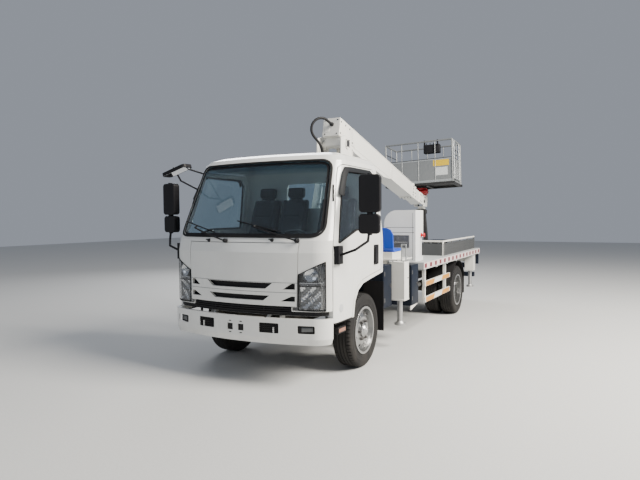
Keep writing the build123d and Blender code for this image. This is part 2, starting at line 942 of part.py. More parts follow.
def look_down_mirror():
    """The mirror over the near front corner of the passenger's side, on its tube stay."""
    upper = [
        (-860, -480, 2186),
        (-925, -760, 2244),
        (-900, -1000, 2232),
        (-810, -1085, 2200),
    ]
    lower = [(-880, -570, 1990), (-935, -850, 2100), (-900, -1000, 2232)]
    parts = []
    for line in (upper, lower):
        for a, b in zip(line, line[1:]):
            parts.append(rod(a, b, 10))
            parts.append(Pos(*b) * Sphere(10))
    stays = joined(*parts) - cab_form(inset=-seat_gap)
    stays = stays.solids().sort_by(Axis.Y)[0]
    head = fillet(box(-165, 165, -75, 75, -17, 17).edges().filter_by(Axis.Z), 40)
    head = Pos(-775, -1085, 2188) * Rot(0, -17, 0) * head
    return joined(stays, head)


# Bumper

bumper_top = 690
bumper_bottom = 431
bumper_wall = 8


def bumper():
    """A hollow bumper with a returned top and bottom edge, its air holes, tow holes and lamp pockets."""

    def level(height, front, half, corner, inset):
        return cab_outline(height, front, half, 40, corner, inset=inset)

    outer = loft(
        [
            level(bumper_bottom, -1105, 965, 200, 0),
            level(bumper_bottom + 60, -1130, 985, 220, 0),
            level(bumper_top, -1130, 988, 220, 0),
        ],
        ruled=True,
    )
    inner = loft(
        [
            level(bumper_bottom - 5, -1105, 965, 200, bumper_wall),
            level(bumper_bottom + 60, -1130, 985, 220, bumper_wall),
            level(bumper_top - bumper_wall, -1130, 988, 220, bumper_wall),
        ],
        ruled=True,
    )
    keep = box(-1100, 1100, -1200, door_front - 14, 400, 710)
    top_cut = cab_outline(bumper_top - 30, -1130, 988, 40, 220, inset=34)
    top_hole = extrude(top_cut, amount=60, dir=(0, 0, 1))
    shell = (outer - inner - top_hole) & keep
    tools = []
    for x in (-385, 385):
        tools.append(
            prism_y([(x - 105, 540), (x + 105, 540), (x + 105, 640), (x - 105, 640)], 0, -1200, -1000, 12)
        )
    for x in (-66, 66):
        tools.append(box(x - 34, x + 34, -1200, -1000, 542, 608))
        tools.append(box(x - 16, x + 16, -1200, -1000, 628, 638))
        tools.append(box(x - 16, x + 16, -1200, -1000, 514, 524))
    for x in (-765, 765):
        tools.append(
            prism_y([(x - 85, 548), (x + 85, 548), (x + 85, 626), (x - 85, 626)], 0, -1200, -900, 14)
        )
    for side in (-1, 1):
        tools.append(box(side * 333 - 16, side * 333 + 16, -1103, -1000, bumper_top - 30, bumper_top + 30))
    shell = shell.cut(*tools)
    stays = []
    for side in (-1, 1):
        stays.append(box(min(side * 425, side * 440), max(side * 425, side * 440), -1095, -900, 470, 600))
        stays.append(
            box(min(side * 425, side * 440), max(side * 425, side * 440), -960, -880, 470, bumper_top)
        )
    return shell, stays


# Deck, lockers and fittings


def subframe():
    """Sub-rails on the frame, the outriggers' cross tube, the slewing pedestal and its fixed ring."""
    parts = []
    for side in (-1, 1):
        x = side * (frame_half_width - 35)
        parts.append(box(x - 35, x + 35, 620, rear_end - 100, frame_top, subframe_top))
    tube_y = front_jack[1]
    half = beam_width / 2 + beam_wall + 1
    low = beam_z - beam_height / 2 - beam_wall - 1
    high = beam_z + beam_height / 2 + beam_wall + 1
    tube = box(-885, 885, tube_y - half, tube_y + half, low, high)
    bore = box(
        -900, 900, tube_y - half + beam_wall, tube_y + half - beam_wall, low + beam_wall, high - beam_wall
    )
    parts.append(box(-420, 420, 640, 1330, subframe_top - 25, subframe_top))
    parts.append(tube)
    post = ring(
        (0, pedestal_y, subframe_top - 2),
        (0, pedestal_y, pedestal_top),
        pedestal_radius,
        pedestal_radius - 16,
    )
    bearing = ring(
        (0, pedestal_y, pedestal_top - 2),
        (0, pedestal_y, pedestal_top + ring_height),
        ring_radius,
        ring_radius - 90,
    )
    parts += [post, bearing]
    for side in (-1, 1):
        gusset = slab_y(
            [
                (side * 560, low),
                (side * 880, low),
                (side * 880, high + 70),
                (side * 700, high + 10),
                (side * 560, high + 10),
            ],
            tube_y - half - 12,
            tube_y - half,
        )
        parts.append(gusset)
    body = joined(*parts) - bore
    return body


def deck():
    """The deck plate on its bearers, with the deep white edge band round it."""
    rear = rear_end - 30
    plate = box(-deck_half_width, deck_half_width, deck_front, rear, deck_top - deck_plate, deck_top)
    low = deck_top - deck_band
    bands = [
        box(-deck_half_width, -deck_half_width + 8, deck_front, rear, low, deck_top),
        box(deck_half_width - 8, deck_half_width, deck_front, rear, low, deck_top),
        box(-deck_half_width, deck_half_width, deck_front, deck_front + 8, low, deck_top),
        box(-deck_half_width, deck_half_width, rear - 8, rear, low, deck_top),
    ]
    bearers = []
    count = 7
    for i in range(count):
        y = deck_front + 60 + (rear - deck_front - 120) * i / (count - 1)
        bearers.append(
            box(-deck_half_width + 2, deck_half_width - 2, y - 22, y + 22, subframe_top, deck_top - 2)
        )
    return joined(plate, *bands, *bearers)


tray_front = 3110
tray_rear = 5480
tray_half = 1010
tray_top = 1285


def tray():
    """Low tray walls on the rear of the deck, with a tube rail on short posts along their tops."""
    wall = 5
    panel_top = tray_top - 46
    parts = [
        box(-tray_half, tray_half, tray_front, tray_front + wall, deck_top, panel_top),
        box(-tray_half, -tray_half + wall, tray_front, tray_rear, deck_top, panel_top),
        box(tray_half - wall, tray_half, tray_front, tray_rear, deck_top, panel_top),
    ]
    corners = [
        (-tray_half + 14, tray_rear - 14),
        (-tray_half + 14, tray_front + 14),
        (tray_half - 14, tray_front + 14),
        (tray_half - 14, tray_rear - 14),
    ]
    for (ax, ay), (bx, by) in zip(corners, corners[1:]):
        parts.append(rod((ax, ay, tray_top - 14), (bx, by, tray_top - 14), 14))
    for x, y in corners:
        parts.append(rod((x, y, deck_top), (x, y, tray_top - 14), 14))
        parts.append(Pos(x, y, tray_top - 14) * Sphere(14))
    for side in (-1, 1):
        for i in range(1, 4):
            y = tray_front + (tray_rear - tray_front) * i / 4
            parts.append(
                rod((side * (tray_half - 14), y, deck_top), (side * (tray_half - 14), y, tray_top - 14), 12)
            )
    return joined(*parts)


def lockers():
    """Dark steel lockers on both sides, hung from the sub-rails, and the tool box in the tray."""
    parts = []
    for side in (1, -1):
        front = box(450, 940, 580, 880, 560, 1078)
        side_box = box(720, 1060, 1290, 1600, 500, 1036)
        shelf = box(frame_half_width, 722, 1400, 1500, 800, 860)
        bridge = box(frame_half_width, 452, 640, 800, 800, 900)
        for piece in (front, side_box, shelf, bridge):
            parts.append(piece if side > 0 else mirror(piece, about=Plane.YZ))
    tool_body = box(745, 975, 3150, 3480, deck_top + seat_gap, 1288)
    tool_lid = box(739, 981, 3144, 3486, 1245, 1290)
    return (
        joined(parts[0], parts[3]),
        joined(parts[1], parts[2]),
        joined(parts[4], parts[7]),
        joined(parts[5], parts[6]),
        joined(tool_body, tool_lid),
    )


def side_guards():
    """Two rails a side on posts that hang from the deck's edge."""
    solids = []
    for side in (-1, 1):
        x = side * 1066
        pieces = []
        for low, high in ((690, 762), (464, 536)):
            pieces.append(box(x - 14, x + 14, 1862, 3250, low, high))
        for y in (1960, 3080):
            inner = x - side * 14
            high = deck_top - deck_plate - seat_gap
            pieces.append(
                box(min(inner, inner - side * 40), max(inner, inner - side * 40), y - 22, y + 22, 464, high)
            )
        solids.append(joined(*pieces))
    return loose(*solids)


def mudguards():
    """A hoop over each pair of rear wheels on its stays, and the flap behind it."""
    solids = []
    for side in (-1, 1):
        low, high = (side * 690, side * 1085) if side > 0 else (side * 1085, side * 690)
        outer = rod((low, wheelbase, axle_height), (high, wheelbase, axle_height), 505)
        inner = rod((low - 5, wheelbase, axle_height), (high + 5, wheelbase, axle_height), 499)
        hoop = (outer - inner) & box(-1200, 1200, wheelbase - 600, wheelbase + 600, axle_height + 190, 1000)
        near, far = side * frame_half_width, side * 760
        stay = box(min(near, far), max(near, far), wheelbase - 20, wheelbase + 20, 880, 914)
        flap = box(low + 10, high - 10, wheelbase + 462, wheelbase + 470, 300, axle_height + 206)
        solids.append(joined(hoop, stay, flap))
        front_flap = box(min(side * 690, side * 955), max(side * 690, side * 955), 556, 564, 300, 900)
        far = side * 700
        arm = box(min(near, far), max(near, far), 552, 566, 700, 760)
        solids.append(joined(front_flap, arm))
    return loose(*solids)


rest_y = 5225
rest_half = 60
rest_t = boom_bottom_t + section_step / 2 - middle_collar - running_gap


def boom_height_at(y, t):
    """The height of the boom's own line at distance t from its axis, over a point of the deck."""
    angle = radians(boom_pitch)
    s = (y - boom_pivot_y + t * sin(angle)) / cos(angle)
    return boom_pivot_z + s * sin(angle) + t * cos(angle)


def boom_rest():
    """A post frame on the deck, with its head sloped as the boom is."""
    foot = box(-210, 210, rest_y - 70, rest_y + 70, deck_top, deck_top + 12)
    front_top = boom_height_at(rest_y - rest_half, rest_t)
    rear_top = boom_height_at(rest_y + rest_half, rest_t)
    low = rear_top - 70
    legs = []
    for side in (-1, 1):
        leg_line = [
            (side * 60, deck_top + 10),
            (side * 140, deck_top + 10),
            (side * 80, low + 10),
            (side * 20, low + 10),
        ]
        legs.append(slab_y(leg_line, rest_y - 40, rest_y + 40))
    head_line = [
        (rest_y - rest_half, low),
        (rest_y - rest_half, front_top),
        (rest_y + rest_half, rear_top),
        (rest_y + rest_half, low),
    ]
    return joined(foot, *legs, slab_x(head_line, -95, 95))


def boom_local(s, t):
    """The (y, z) place of a point on the boom's own axes."""
    angle = radians(boom_pitch)
    y = boom_pivot_y + s * cos(angle) - t * sin(angle)
    z = boom_pivot_z + s * sin(angle) + t * cos(angle)
    return y, z


def operator_station():
    """The console's moulded cover beside the boom, fixed to the deck, with its curved front edge."""
    front_y, back_y = 1832, 2190
    low, high = deck_top, 1770
    inner_x, outer_x = 480, 950
    corner = 190
    with BuildSketch(Plane(origin=(0, front_y, 0), x_dir=(1, 0, 0), z_dir=(0, -1, 0))) as cover:
        with BuildLine():
            Polyline(
                (inner_x, high - corner),
                (inner_x, low),
                (outer_x, low),
                (outer_x, high),
                (inner_x + corner, high),
            )
            RadiusArc((inner_x + corner, high), (inner_x, high - corner), -corner)
        make_face()
    body = extrude(cover.sketch, amount=back_y - front_y, dir=(0, 1, 0))
    recess = box(outer_x - 22, outer_x + 5, front_y + 210, back_y + 5, low + 60, 1380)
    return body - recess


def operator_seat():
    """A one-piece plastic seat shell on its pale box stand, facing the console."""
    x0, x1 = 470, 860
    y0 = 1130
    shell = slab_x(
        [
            (y0, 1530),
            (y0 + 22, 1535),
            (y0 + 52, 1270),
            (y0 + 90, 1238),
            (y0 + 370, 1250),
            (y0 + 392, 1238),
            (y0 + 372, 1220),
            (y0 + 60, 1212),
            (y0 + 24, 1262),
        ],
        x0,
        x1,
    )
    dome = slab_y(
        [
            (x0, 1180),
            (x1, 1180),
            (x1, 1450),
            (x1 - 30, 1505),
            (x1 - 90, 1532),
            (x0 + 90, 1532),
            (x0 + 30, 1505),
            (x0, 1450),
        ],
        y0 - 20,
        y0 + 420,
    )
    return shell & dome


def seat_stand():
    """The seat's stand and the grab hoop beside it, on the front locker and the outrigger tube."""
    plate = box(455, 985, 1100, 1560, 1108, 1122)
    stand = box(490, 850, 1150, 1500, 1122, 1212)
    leg = box(640, 718, 1300, 1380, subframe_top, 1110)
    arm = box(frame_half_width, 718, 1300, 1380, 860, subframe_top + 14)
    return joined(plate, stand, leg, arm)


def rear_bar():
    """The rear underrun bar on its brackets, with a lamp box at each end and its rear light."""
    y = rear_end - 60
    bar = box(-1000, 1000, y - 50, y + 50, 470, 555)
    parts = [bar]
    for side in (-1, 1):
        parts.append(box(side * 395 - 25, side * 395 + 25, y - 90, y + 30, 550, frame_top - rail_height))
        parts.append(box(side * 1050 - 30, side * 1050 + 30, y - 7, y + 30, 725, deck_top - deck_band))
        parts.append(box(side * 820 - 150, side * 820 + 150, y - 12, y + 30, 640, 740))
        parts.append(box(side * 760 - 20, side * 760 + 20, y - 12, y + 12, 550, 650))
    return joined(*parts)


# Aerial device


def column():
    """The slewing column: a turntable plate, two tall side plates, a front web and cross tubes."""
    low = pedestal_top + ring_height + seat_gap
    floor_top = low + 34
    plate = rod((0, pedestal_y, low), (0, pedestal_y, floor_top), 405)
    outline = [
        (660, floor_top - 5),
        (1360, floor_top - 5),
        (1360, 2610),
        (1330, 2730),
        (1240, 2785),
        (1130, 2785),
        (1010, 2740),
        (1000, 2250),
        (720, 1420),
    ]
    inner = column_half_width - column_plate
    parts = [plate]
    for side in (-1, 1):
        parts.append(
            slab_x(
                outline,
                min(side * inner, side * column_half_width),
                max(side * inner, side * column_half_width),
            )
        )
    web = [
        (690, floor_top - 5),
        (706, floor_top - 5),
        (736, 1424),
        (1014, 2250),
        (1018, 2430),
        (1002, 2430),
        (999, 2250),
        (720, 1424),
    ]
    parts.append(slab_x(web, -inner - 2, inner + 2))
    foot_y, foot_z = cylinder_foot
    for side in (-1, 1):
        parts.append(
            slab_x(
                [
                    (foot_y - 70, floor_top - 5),
                    (foot_y + 70, floor_top - 5),
                    (foot_y + 50, foot_z + 50),
                    (foot_y - 50, foot_z + 50),
                ],
                min(side * 58, side * 74),
                max(side * 58, side * 74),
            )
        )
    parts.append(
        box(hose_end[0] - 24, hose_end[0] + 24, 1003, hose_end[1] + 20, 2410, hose_end[2] - seat_gap)
    )
    parts.append(rod((-74, foot_y, foot_z), (74, foot_y, foot_z), 22))
    parts.append(
        rod(
            (-column_half_width - 12, boom_pivot_y, boom_pivot_z),
            (column_half_width + 12, boom_pivot_y, boom_pivot_z),
            30,
        )
    )
    for side in (-1, 1):
        parts.append(
            rod(
                (side * column_half_width, boom_pivot_y, boom_pivot_z),
                (side * (column_half_width + 12), boom_pivot_y, boom_pivot_z),
                75,
            )
        )
    return joined(*parts)


def cylinder_line():
    start = Vector(0, *cylinder_foot)
    end = Vector(0, *cylinder_eye)
    return start, end, (end - start).normalized()


def luff_barrel():
    start, end, along = cylinder_line()
    tip = start + along * barrel_length
    bottom = start + along * 60
    tube = rod(tuple(bottom), tuple(tip), barrel_radius) - rod(
        tuple(start + along * 110), tuple(tip + along * 5), barrel_radius - 10
    )
    gland = rod(tuple(tip - along * 46), tuple(tip + along * 14), barrel_radius + 6)
    gland = gland - rod(tuple(tip - along * 60), tuple(tip + along * 30), ram_radius + bore_gap)
    y, z = cylinder_foot
    eye = rod((-50, y, z), (50, y, z), 46)
    neck = rod(tuple(start), tuple(bottom + along * 2), 40)
    return joined(tube, gland, eye, neck) - rod((-60, y, z), (60, y, z), 22 + bore_gap)


def luff_ram():
    start, end, along = cylinder_line()
    low = start + along * piston_start
    stem = rod(tuple(low), tuple(end), ram_radius)
    piston = rod(tuple(low), tuple(low + along * 50), barrel_radius - 10 - seat_gap)
    y, z = cylinder_eye
    eye = rod((-36, y, z), (36, y, z), 46)
    return joined(stem, piston, eye)


def on_boom(shape):
    """Puts a shape drawn with s along Y and t along Z onto the boom."""
    return Pos(0, boom_pivot_y, boom_pivot_z) * Rot(boom_pitch, 0, 0) * shape


def boom_tube(level, s0, s1):
    """A square box section of the boom, one step smaller all round at each level."""
    half = boom_width / 2 - section_step / 2 * level
    low = boom_bottom_t + section_step / 2 * level
    high = boom_bottom_t + boom_height - section_step / 2 * level
    wall = boom_wall
    outer = box(-half, half, s0, s1, low, high)
    inner = box(-half + wall, half - wall, s0 - 5, s1 + 5, low + wall, high - wall)
    return outer - inner, half, low, high


def boom_base():
    tube, half, low, high = boom_tube(0, boom_tail_s, boom_end_s)
    tail = box(-half, half, boom_tail_s - 10, boom_tail_s, low, high)
    collar = box(-half - 9, half + 9, boom_end_s - 70, boom_end_s, low - 9, high + 9) - box(
        -half + 1, half - 1, boom_end_s - 80, boom_end_s + 5, low + 1, high - 1
    )
    pads = pad_frame(half - boom_wall, low + boom_wall, high - boom_wall, boom_end_s - 90, boom_end_s - 5)
    belly = [(60, low + 2), (430, low - belly_depth), (1600, low - belly_depth), (1940, low + 2)]
    cheeks = []
    for side in (-1, 1):
        cheeks.append(
            slab_x(belly, min(side * (half - 8), side * half), max(side * (half - 8), side * half))
        )
    pan = slab_x(
        [
            (60, low + 1),
            (430, low - belly_depth),
            (1600, low - belly_depth),
            (1940, low + 1),
            (1925, low + 1),
            (1600, low - belly_depth + 8),
            (430, low - belly_depth + 8),
            (75, low + 1),
        ],
        -half + 2,
        half - 2,
    )
    ears = []
    ear = [(-75, low + 3), (-60, -40), (0, -72), (60, -40), (75, low + 3)]
    for side in (-1, 1):
        ears.append(slab_x(ear, min(side * 104, side * 120), max(side * 104, side * 120)))
    ears.append(slab_x([(-75, low + 3), (-62, -40), (-54, -40), (-67, low + 3)], -105, 105))
    sleeve = ring((-164, 0, 0), (164, 0, 0), 58, 30 + bore_gap)
    eye_y, eye_z = cylinder_eye
    angle = radians(boom_pitch)
    dy, dz = eye_y - boom_pivot_y, eye_z - boom_pivot_z
    es = dy * cos(angle) + dz * sin(angle)
    et = -dy * sin(angle) + dz * cos(angle)
    lugs = []
    lug = [
        (es - 75, low + 3),
        (es - 52, et - 20),
        (es - 20, et - 52),
        (es + 20, et - 52),
        (es + 52, et - 20),
        (es + 120, low + 3),
    ]
    for side in (-1, 1):
        lugs.append(slab_x(lug, min(side * 42, side * 60), max(side * 42, side * 60)))
        lugs.append(rod((side * 59, es, et), (side * 72, es, et), 34))
    hole = rod((-200, 0, 0), (200, 0, 0), 30 + bore_gap)
    windows = []
    for s in (700, 1000, 1300):
        windows.append(box(-60, 60, s - 70, s + 70, low - belly_depth - 10, low - belly_depth + 20))
    fitting = rod((10, boom_tail_s - 30, hose_fit_t), (10, boom_tail_s, hose_fit_t), hose_radius + 8)
    body = joined(tube, tail, collar, pads, *cheeks, pan, *ears, *lugs, sleeve, fitting)
    return on_boom(body.cut(hole, *windows))


def pad_frame(half, low, high, s0, s1):
    """Wear pads that fill the gap between one section and the next inside it, but for a slip gap."""
    gap = section_step / 2 - boom_wall - seat_gap
    outer = box(-half, half, s0, s1, low, high)
    inner = box(-half + gap, half - gap, s0 - 5, s1 + 5, low + gap, high - gap)
    return outer - inner


def boom_middle():
    tube, half, low, high = boom_tube(1, 120, middle_end_s)
    gap = section_step / 2 - boom_wall - seat_gap
    shoes = box(-half - gap, half + gap, 120, 210, low - gap, high + gap) - box(
        -half + 1, half - 1, 115, 215, low + 1, high - 1
    )
    pads = pad_frame(
        half - boom_wall, low + boom_wall, high - boom_wall, middle_end_s - 80, middle_end_s - 4
    )
    proud = middle_collar
    collar = box(
        -half - proud, half + proud, middle_end_s - 40, middle_end_s, low - proud, high + proud
    ) - box(-half + 1, half - 1, middle_end_s - 45, middle_end_s + 5, low + 1, high - 1)
    return on_boom(joined(tube, shoes, pads, collar))


def boom_inner():
    tube, half, low, high = boom_tube(2, 240, inner_end_s)
    gap = section_step / 2 - boom_wall - seat_gap
    shoes = box(-half - gap, half + gap, 240, 330, low - gap, high + gap) - box(
        -half + 1, half - 1, 235, 335, low + 1, high - 1
    )
    cheeks = []
    cheek = [
        (inner_end_s - 160, low),
        (inner_end_s - 160, high),
        (inner_end_s, high),
        (head_pin_s + 40, head_pin_t + 45),
        (head_pin_s + 40, head_pin_t - 45),
        (inner_end_s + 10, low),
    ]
    for side in (-1, 1):
        cheeks.append(
            slab_x(cheek, min(side * half, side * (half + 14)), max(side * half, side * (half + 14)))
        )
    plate = box(-half - 2, half + 2, inner_end_s - 12, inner_end_s, low, high)
    pin = rod((-half - 22, head_pin_s, head_pin_t), (half + 22, head_pin_s, head_pin_t), 20)
    return on_boom(joined(tube, shoes, *cheeks, plate, pin))


def basket_frame(shape):
    """Puts a shape drawn about the swing axis, with its floor at zero, into the basket's lean."""
    return Pos(0, swing_y, basket_floor_z) * Rot(basket_pitch, basket_roll, 0) * shape


def basket_carrier():
    """The levelling bracket on the head pin, with its foot and the slewing drive's seat."""
    pin_y, pin_z = boom_local(head_pin_s, head_pin_t)
    half = boom_width / 2 - section_step - 1
    parts = []
    for side in (-1, 1):
        arm = slab_x(
            [
                (pin_y - 46, pin_z + 40),
                (pin_y + 20, pin_z + 50),
                (swing_y + 120, 2090),
                (swing_y + 120, 2060),
                (swing_y + 85, 1880),
                (pin_y + 10, 1880),
                (pin_y - 46, pin_z - 30),
            ],
            min(side * (half - 15), side * (half - 2)),
            max(side * (half - 15), side * (half - 2)),
        )
        parts.append(arm)
    tie = box(-half + 4, half - 4, swing_y - 45, swing_y + 82, 1880, 1894)
    foot_front, foot_rear = swing_y - 35, swing_y + 72
    foot_t = rest_t + running_gap + 1
    foot_line = [
        (foot_front, 1881),
        (foot_front, boom_height_at(foot_front, foot_t)),
        (foot_rear, boom_height_at(foot_rear, foot_t)),
        (foot_rear, 1881),
    ]
    foot = slab_x(foot_line, -60, 60)
    sleeve = ring((-half + 2, pin_y, pin_z), (half - 2, pin_y, pin_z), 38, 20 + bore_gap)
    top = box(-half + 4, half - 4, swing_y - 100, swing_y + 120, 2068, 2112)
    bore = rod((-200, pin_y, pin_z), (200, pin_y, pin_z), 20 + bore_gap)
    seat = basket_frame(rod((0, 0, -60 - drive_height - seat_gap), (0, 0, 0), drive_radius + bore_gap))
    return joined(*parts, tie, foot, top, sleeve) - bore - seat


def basket_drive():
    """The worm slewing drive that turns the basket, with its motor across it."""
    body = rod((0, 0, -60 - drive_height), (0, 0, -60 - seat_gap), drive_radius)
    motor_y = 20 - drive_radius
    motor_z = -60 - drive_height * 0.55
    motor = rod((-150, motor_y, motor_z), (150, motor_y, motor_z), 48)
    return basket_frame(joined(body, motor))


def basket():
    """A tube-railed basket on a dark floor frame, with sheet panels over its lower half."""
    x0, x1 = basket_x - basket_width / 2, basket_x + basket_width / 2
    y0, y1 = basket_y - swing_y - basket_depth / 2, basket_y - swing_y + basket_depth / 2
    r = rail_tube
    top = basket_height - r
    parts = [box(x0, x1, y0, y1, 0, 6)]
    ring_points = [(x0 + r, y0 + r), (x1 - r, y0 + r), (x1 - r, y1 - r), (x0 + r, y1 - r)]
    for i, (ax, ay) in enumerate(ring_points):
        bx, by = ring_points[(i + 1) % 4]
        parts.append(rod((ax, ay, top), (bx, by, top), r))
        parts.append(Pos(ax, ay, top) * Sphere(r))
        parts.append(rod((ax, ay, 0), (ax, ay, top), r))
    panel_top = basket_height * 0.55
    skin = 3
    parts.append(box(x0 + r, x1 - r, y0 + r - skin, y0 + r, 0, panel_top))
    parts.append(box(x0 + r, x1 - r, y1 - r, y1 - r + skin, 0, panel_top))
    parts.append(box(x0 + r - skin, x0 + r, y0 + r, y1 - r, 0, panel_top))
    parts.append(box(x1 - r, x1 - r + skin, y0 + r, y1 - r, 0, panel_top))
    count = 4
    for i in range(1, count):
        x = x0 + r + (x1 - x0 - 2 * r) * i / count
        for y in (y0 + r, y1 - r):
            parts.append(rod((x, y, 0), (x, y, top), 9))
    for x in (x0 + r, x1 - r):
        parts.append(rod((x, (y0 + y1) / 2, 0), (x, (y0 + y1) / 2, top), 9))
    return joined(*[basket_frame(joined(*parts))])


def basket_floor():
    x0, x1 = basket_x - basket_width / 2, basket_x + basket_width / 2
    y0, y1 = basket_y - swing_y - basket_depth / 2, basket_y - swing_y + basket_depth / 2
    bars = [
        box(x0 + 4, x1 + 20, y0 + 4, y0 + 54, -42, 0),
        box(x0 + 4, x1 + 20, y1 - 54, y1 - 4, -42, 0),
        box(x0 + 4, x0 + 54, y0 + 4, y1 - 4, -42, 0),
        box(x1 - 54, x1 - 4, y0 + 4, y1 - 4, -42, 0),
        box(-180, -130, y0 + 4, y1 - 4, -42, 0),
        box(130, 180, y0 + 4, y1 - 4, -42, 0),
        rod((0, 0, -60), (0, 0, -1), drive_radius),
        box(-180, 180, -40, 40, -42, 0),
    ]
    return basket_frame(joined(*bars))


hose_route = [
    (10, *boom_local(boom_tail_s - 30 - seat_gap, hose_fit_t)),
    (10, *boom_local(boom_tail_s - 94.8, hose_fit_t)),
    (-26, 927, 3006),
    (-97, 844.5, 2987),
    (-150, 801, 2901),
    (-158, 819, 2788),
    (-102, 928.5, 2683.5),
    (-90, 985.3, 2600),
    (-90, 1004.1, 2527),
    hose_end,
]


def hose():
    """The hose loop at the boom's tail: straight runs joined by arcs as large as the runs allow."""
    points = [Vector(*p) for p in hose_route]
    radii = []
    for a, b, c in zip(points, points[1:], points[2:]):
        turn = radians((b - a).get_angle(c - b))
        shorter = min((b - a).length, (c - b).length)
        radii.append(0.45 * shorter / tan(turn / 2))
    print("hose arc radii:", [round(r) for r in radii])
    path = FilletPolyline(*points, radius=radii)
    start = path @ 0
    section = Plane(origin=start, z_dir=path % 0) * Circle(hose_radius)
    tube = sweep(section, path=path)
    print(
        "hose length:",
        round(path.length),
        "volume ratio:",
        round(tube.volume / (path.length * 3.14159 * hose_radius**2), 4),
    )
    return tube


# Outriggers


def jack_beam(side):
    """A beam that slides out of the cross tube, with the upright jack box and its grab hoop on its end."""
    x, y = side * front_jack[0], front_jack[1]
    half = jack_box / 2
    inner_end = side * 170
    outer_end = x - side * (half - 2)
    beam = box(
        min(inner_end, outer_end),
        max(inner_end, outer_end),
        y - beam_width / 2 - 0.7,
        y + beam_width / 2 + 0.7,
        beam_z - beam_height / 2 - 0.7,
        beam_z + beam_height / 2 + 0.7,
    )
    tube = box(x - half, x + half, y - half, y + half, jack_box_bottom, jack_box_top)
    wall = jack_box_wall
    bore = box(
        x - half + wall,
        x + half - wall,
        y - half + wall,
        y + half - wall,
        jack_box_bottom - 5,
        jack_box_top - wall,
    )
    guide = box(
        x - half + 2, x + half - 2, y - half + 2, y + half - 2, jack_box_bottom, jack_box_bottom + 30
    ) - rod((x, y, 500), (x, y, 1200), leg_radius + seat_gap)
    near = x + side * hoop_near
    far = x + side * hoop_far
    hoop_top = jack_box_top + hoop_height
    hoop = [rod((near, y, hoop_top), (far, y, hoop_top), hoop_radius)]
    for end in (near, far):
        hoop.append(rod((end, y, jack_box_top - 4), (end, y, hoop_top), hoop_radius))
        hoop.append(Pos(end, y, hoop_top) * Sphere(hoop_radius))
    return joined(beam, tube - bore, guide, *hoop)


def rear_jack_box(side):
    x, y = side * rear_jack[0], rear_jack[1]
    half = jack_box / 2 - 8
    low, high = jack_box_bottom, rear_jack_top
    wall = jack_box_wall
    tube = box(x - half, x + half, y - half, y + half, low, high) - box(
        x - half + wall, x + half - wall, y - half + wall, y + half - wall, low - 5, high - wall
    )
    guide = box(x - half + 2, x + half - 2, y - half + 2, y + half - 2, low, low + 30) - rod(
        (x, y, 500), (x, y, 1200), leg_radius + seat_gap
    )
    arm = box(
        min(side * 420, x - side * (half - 2)),
        max(side * 420, x - side * (half - 2)),
        y - 50,
        y + 50,
        800,
        900,
    )
    return joined(tube, guide, arm)


def leg(x, y, top):
    stem = rod((x, y, foot_bottom + foot_height - 2), (x, y, top), leg_radius)
    foot = rod((x, y, foot_bottom), (x, y, foot_bottom + foot_height), foot_radius)
    cone = Pos(x, y, foot_bottom + foot_height + 12) * Cone(leg_radius + 22, leg_radius + 1, 28)
    return joined(stem, foot, cone)


def outriggers():
    for name, side in (("left", 1), ("right", -1)):
        nodes["outrigger_beam_" + name] = jack_beam(side)
        nodes["jack_front_" + name] = leg(side * front_jack[0], front_jack[1], jack_box_top - 40)
        nodes["jack_rear_" + name] = leg(side * rear_jack[0], rear_jack[1], rear_jack_top - 28)


# All the nodes

wheels()
nodes["front_axle"] = front_axle()
nodes["knuckle_left"] = knuckle(1)
nodes["knuckle_right"] = knuckle(-1)
nodes["rear_axle"] = rear_axle()
nodes["leaf_springs"] = leaf_springs()
nodes["frame_rails"] = frame_rails()
nodes["power_unit"] = power_unit()
nodes["fuel_tank"] = fuel_tank()
nodes["exhaust"] = exhaust()

outer_form, lamp_skin, lamp_tool = cab_parts()
cab_inside()
nodes["grille"] = grille()
nodes["headlamps"] = headlamps(lamp_skin, lamp_tool)
doors(outer_form)
nodes["cab_interior"] = cab_interior()
nodes["cab_seats"] = cab_seats()
nodes["mirror_right"] = mirrors(-1)
nodes["mirror_left"] = mirror(nodes["mirror_right"], about=Plane.YZ)
nodes["look_down_mirror"] = look_down_mirror()
bumper_shell, bumper_stays = bumper()
nodes["bumper"] = joined(bumper_shell, *bumper_stays)

nodes["subframe"] = joined(subframe(), rear_jack_box(1), rear_jack_box(-1))
nodes["deck"] = deck()
nodes["deck_tray"] = tray()
nodes["lockers"] = loose(*lockers())
nodes["side_guards"] = side_guards()
nodes["mudguards"] = mudguards()
nodes["boom_rest"] = boom_rest()
nodes["operator_station"] = operator_station()
nodes["operator_seat"] = operator_seat()
nodes["seat_stand"] = seat_stand()
nodes["rear_bar"] = rear_bar()

nodes["column"] = column()
nodes["luff_barrel"] = luff_barrel()
nodes["luff_ram"] = luff_ram()
nodes["boom_base"] = boom_base()
nodes["boom_middle"] = boom_middle()
nodes["boom_inner"] = boom_inner()
nodes["basket_carrier"] = basket_carrier()
nodes["basket_drive"] = basket_drive()
nodes["basket"] = basket()
nodes["basket_floor"] = basket_floor()
nodes["hose"] = hose()
outriggers()

os.makedirs("parts", exist_ok=True)
for name, shape in nodes.items():
    export_step(shape.moved(Location((0, -origin_y, 0))), "parts/" + name + ".step")
print(len(nodes), "nodes")
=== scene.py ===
import bpy
import bmesh
import json
import math
from mathutils import Matrix, Vector

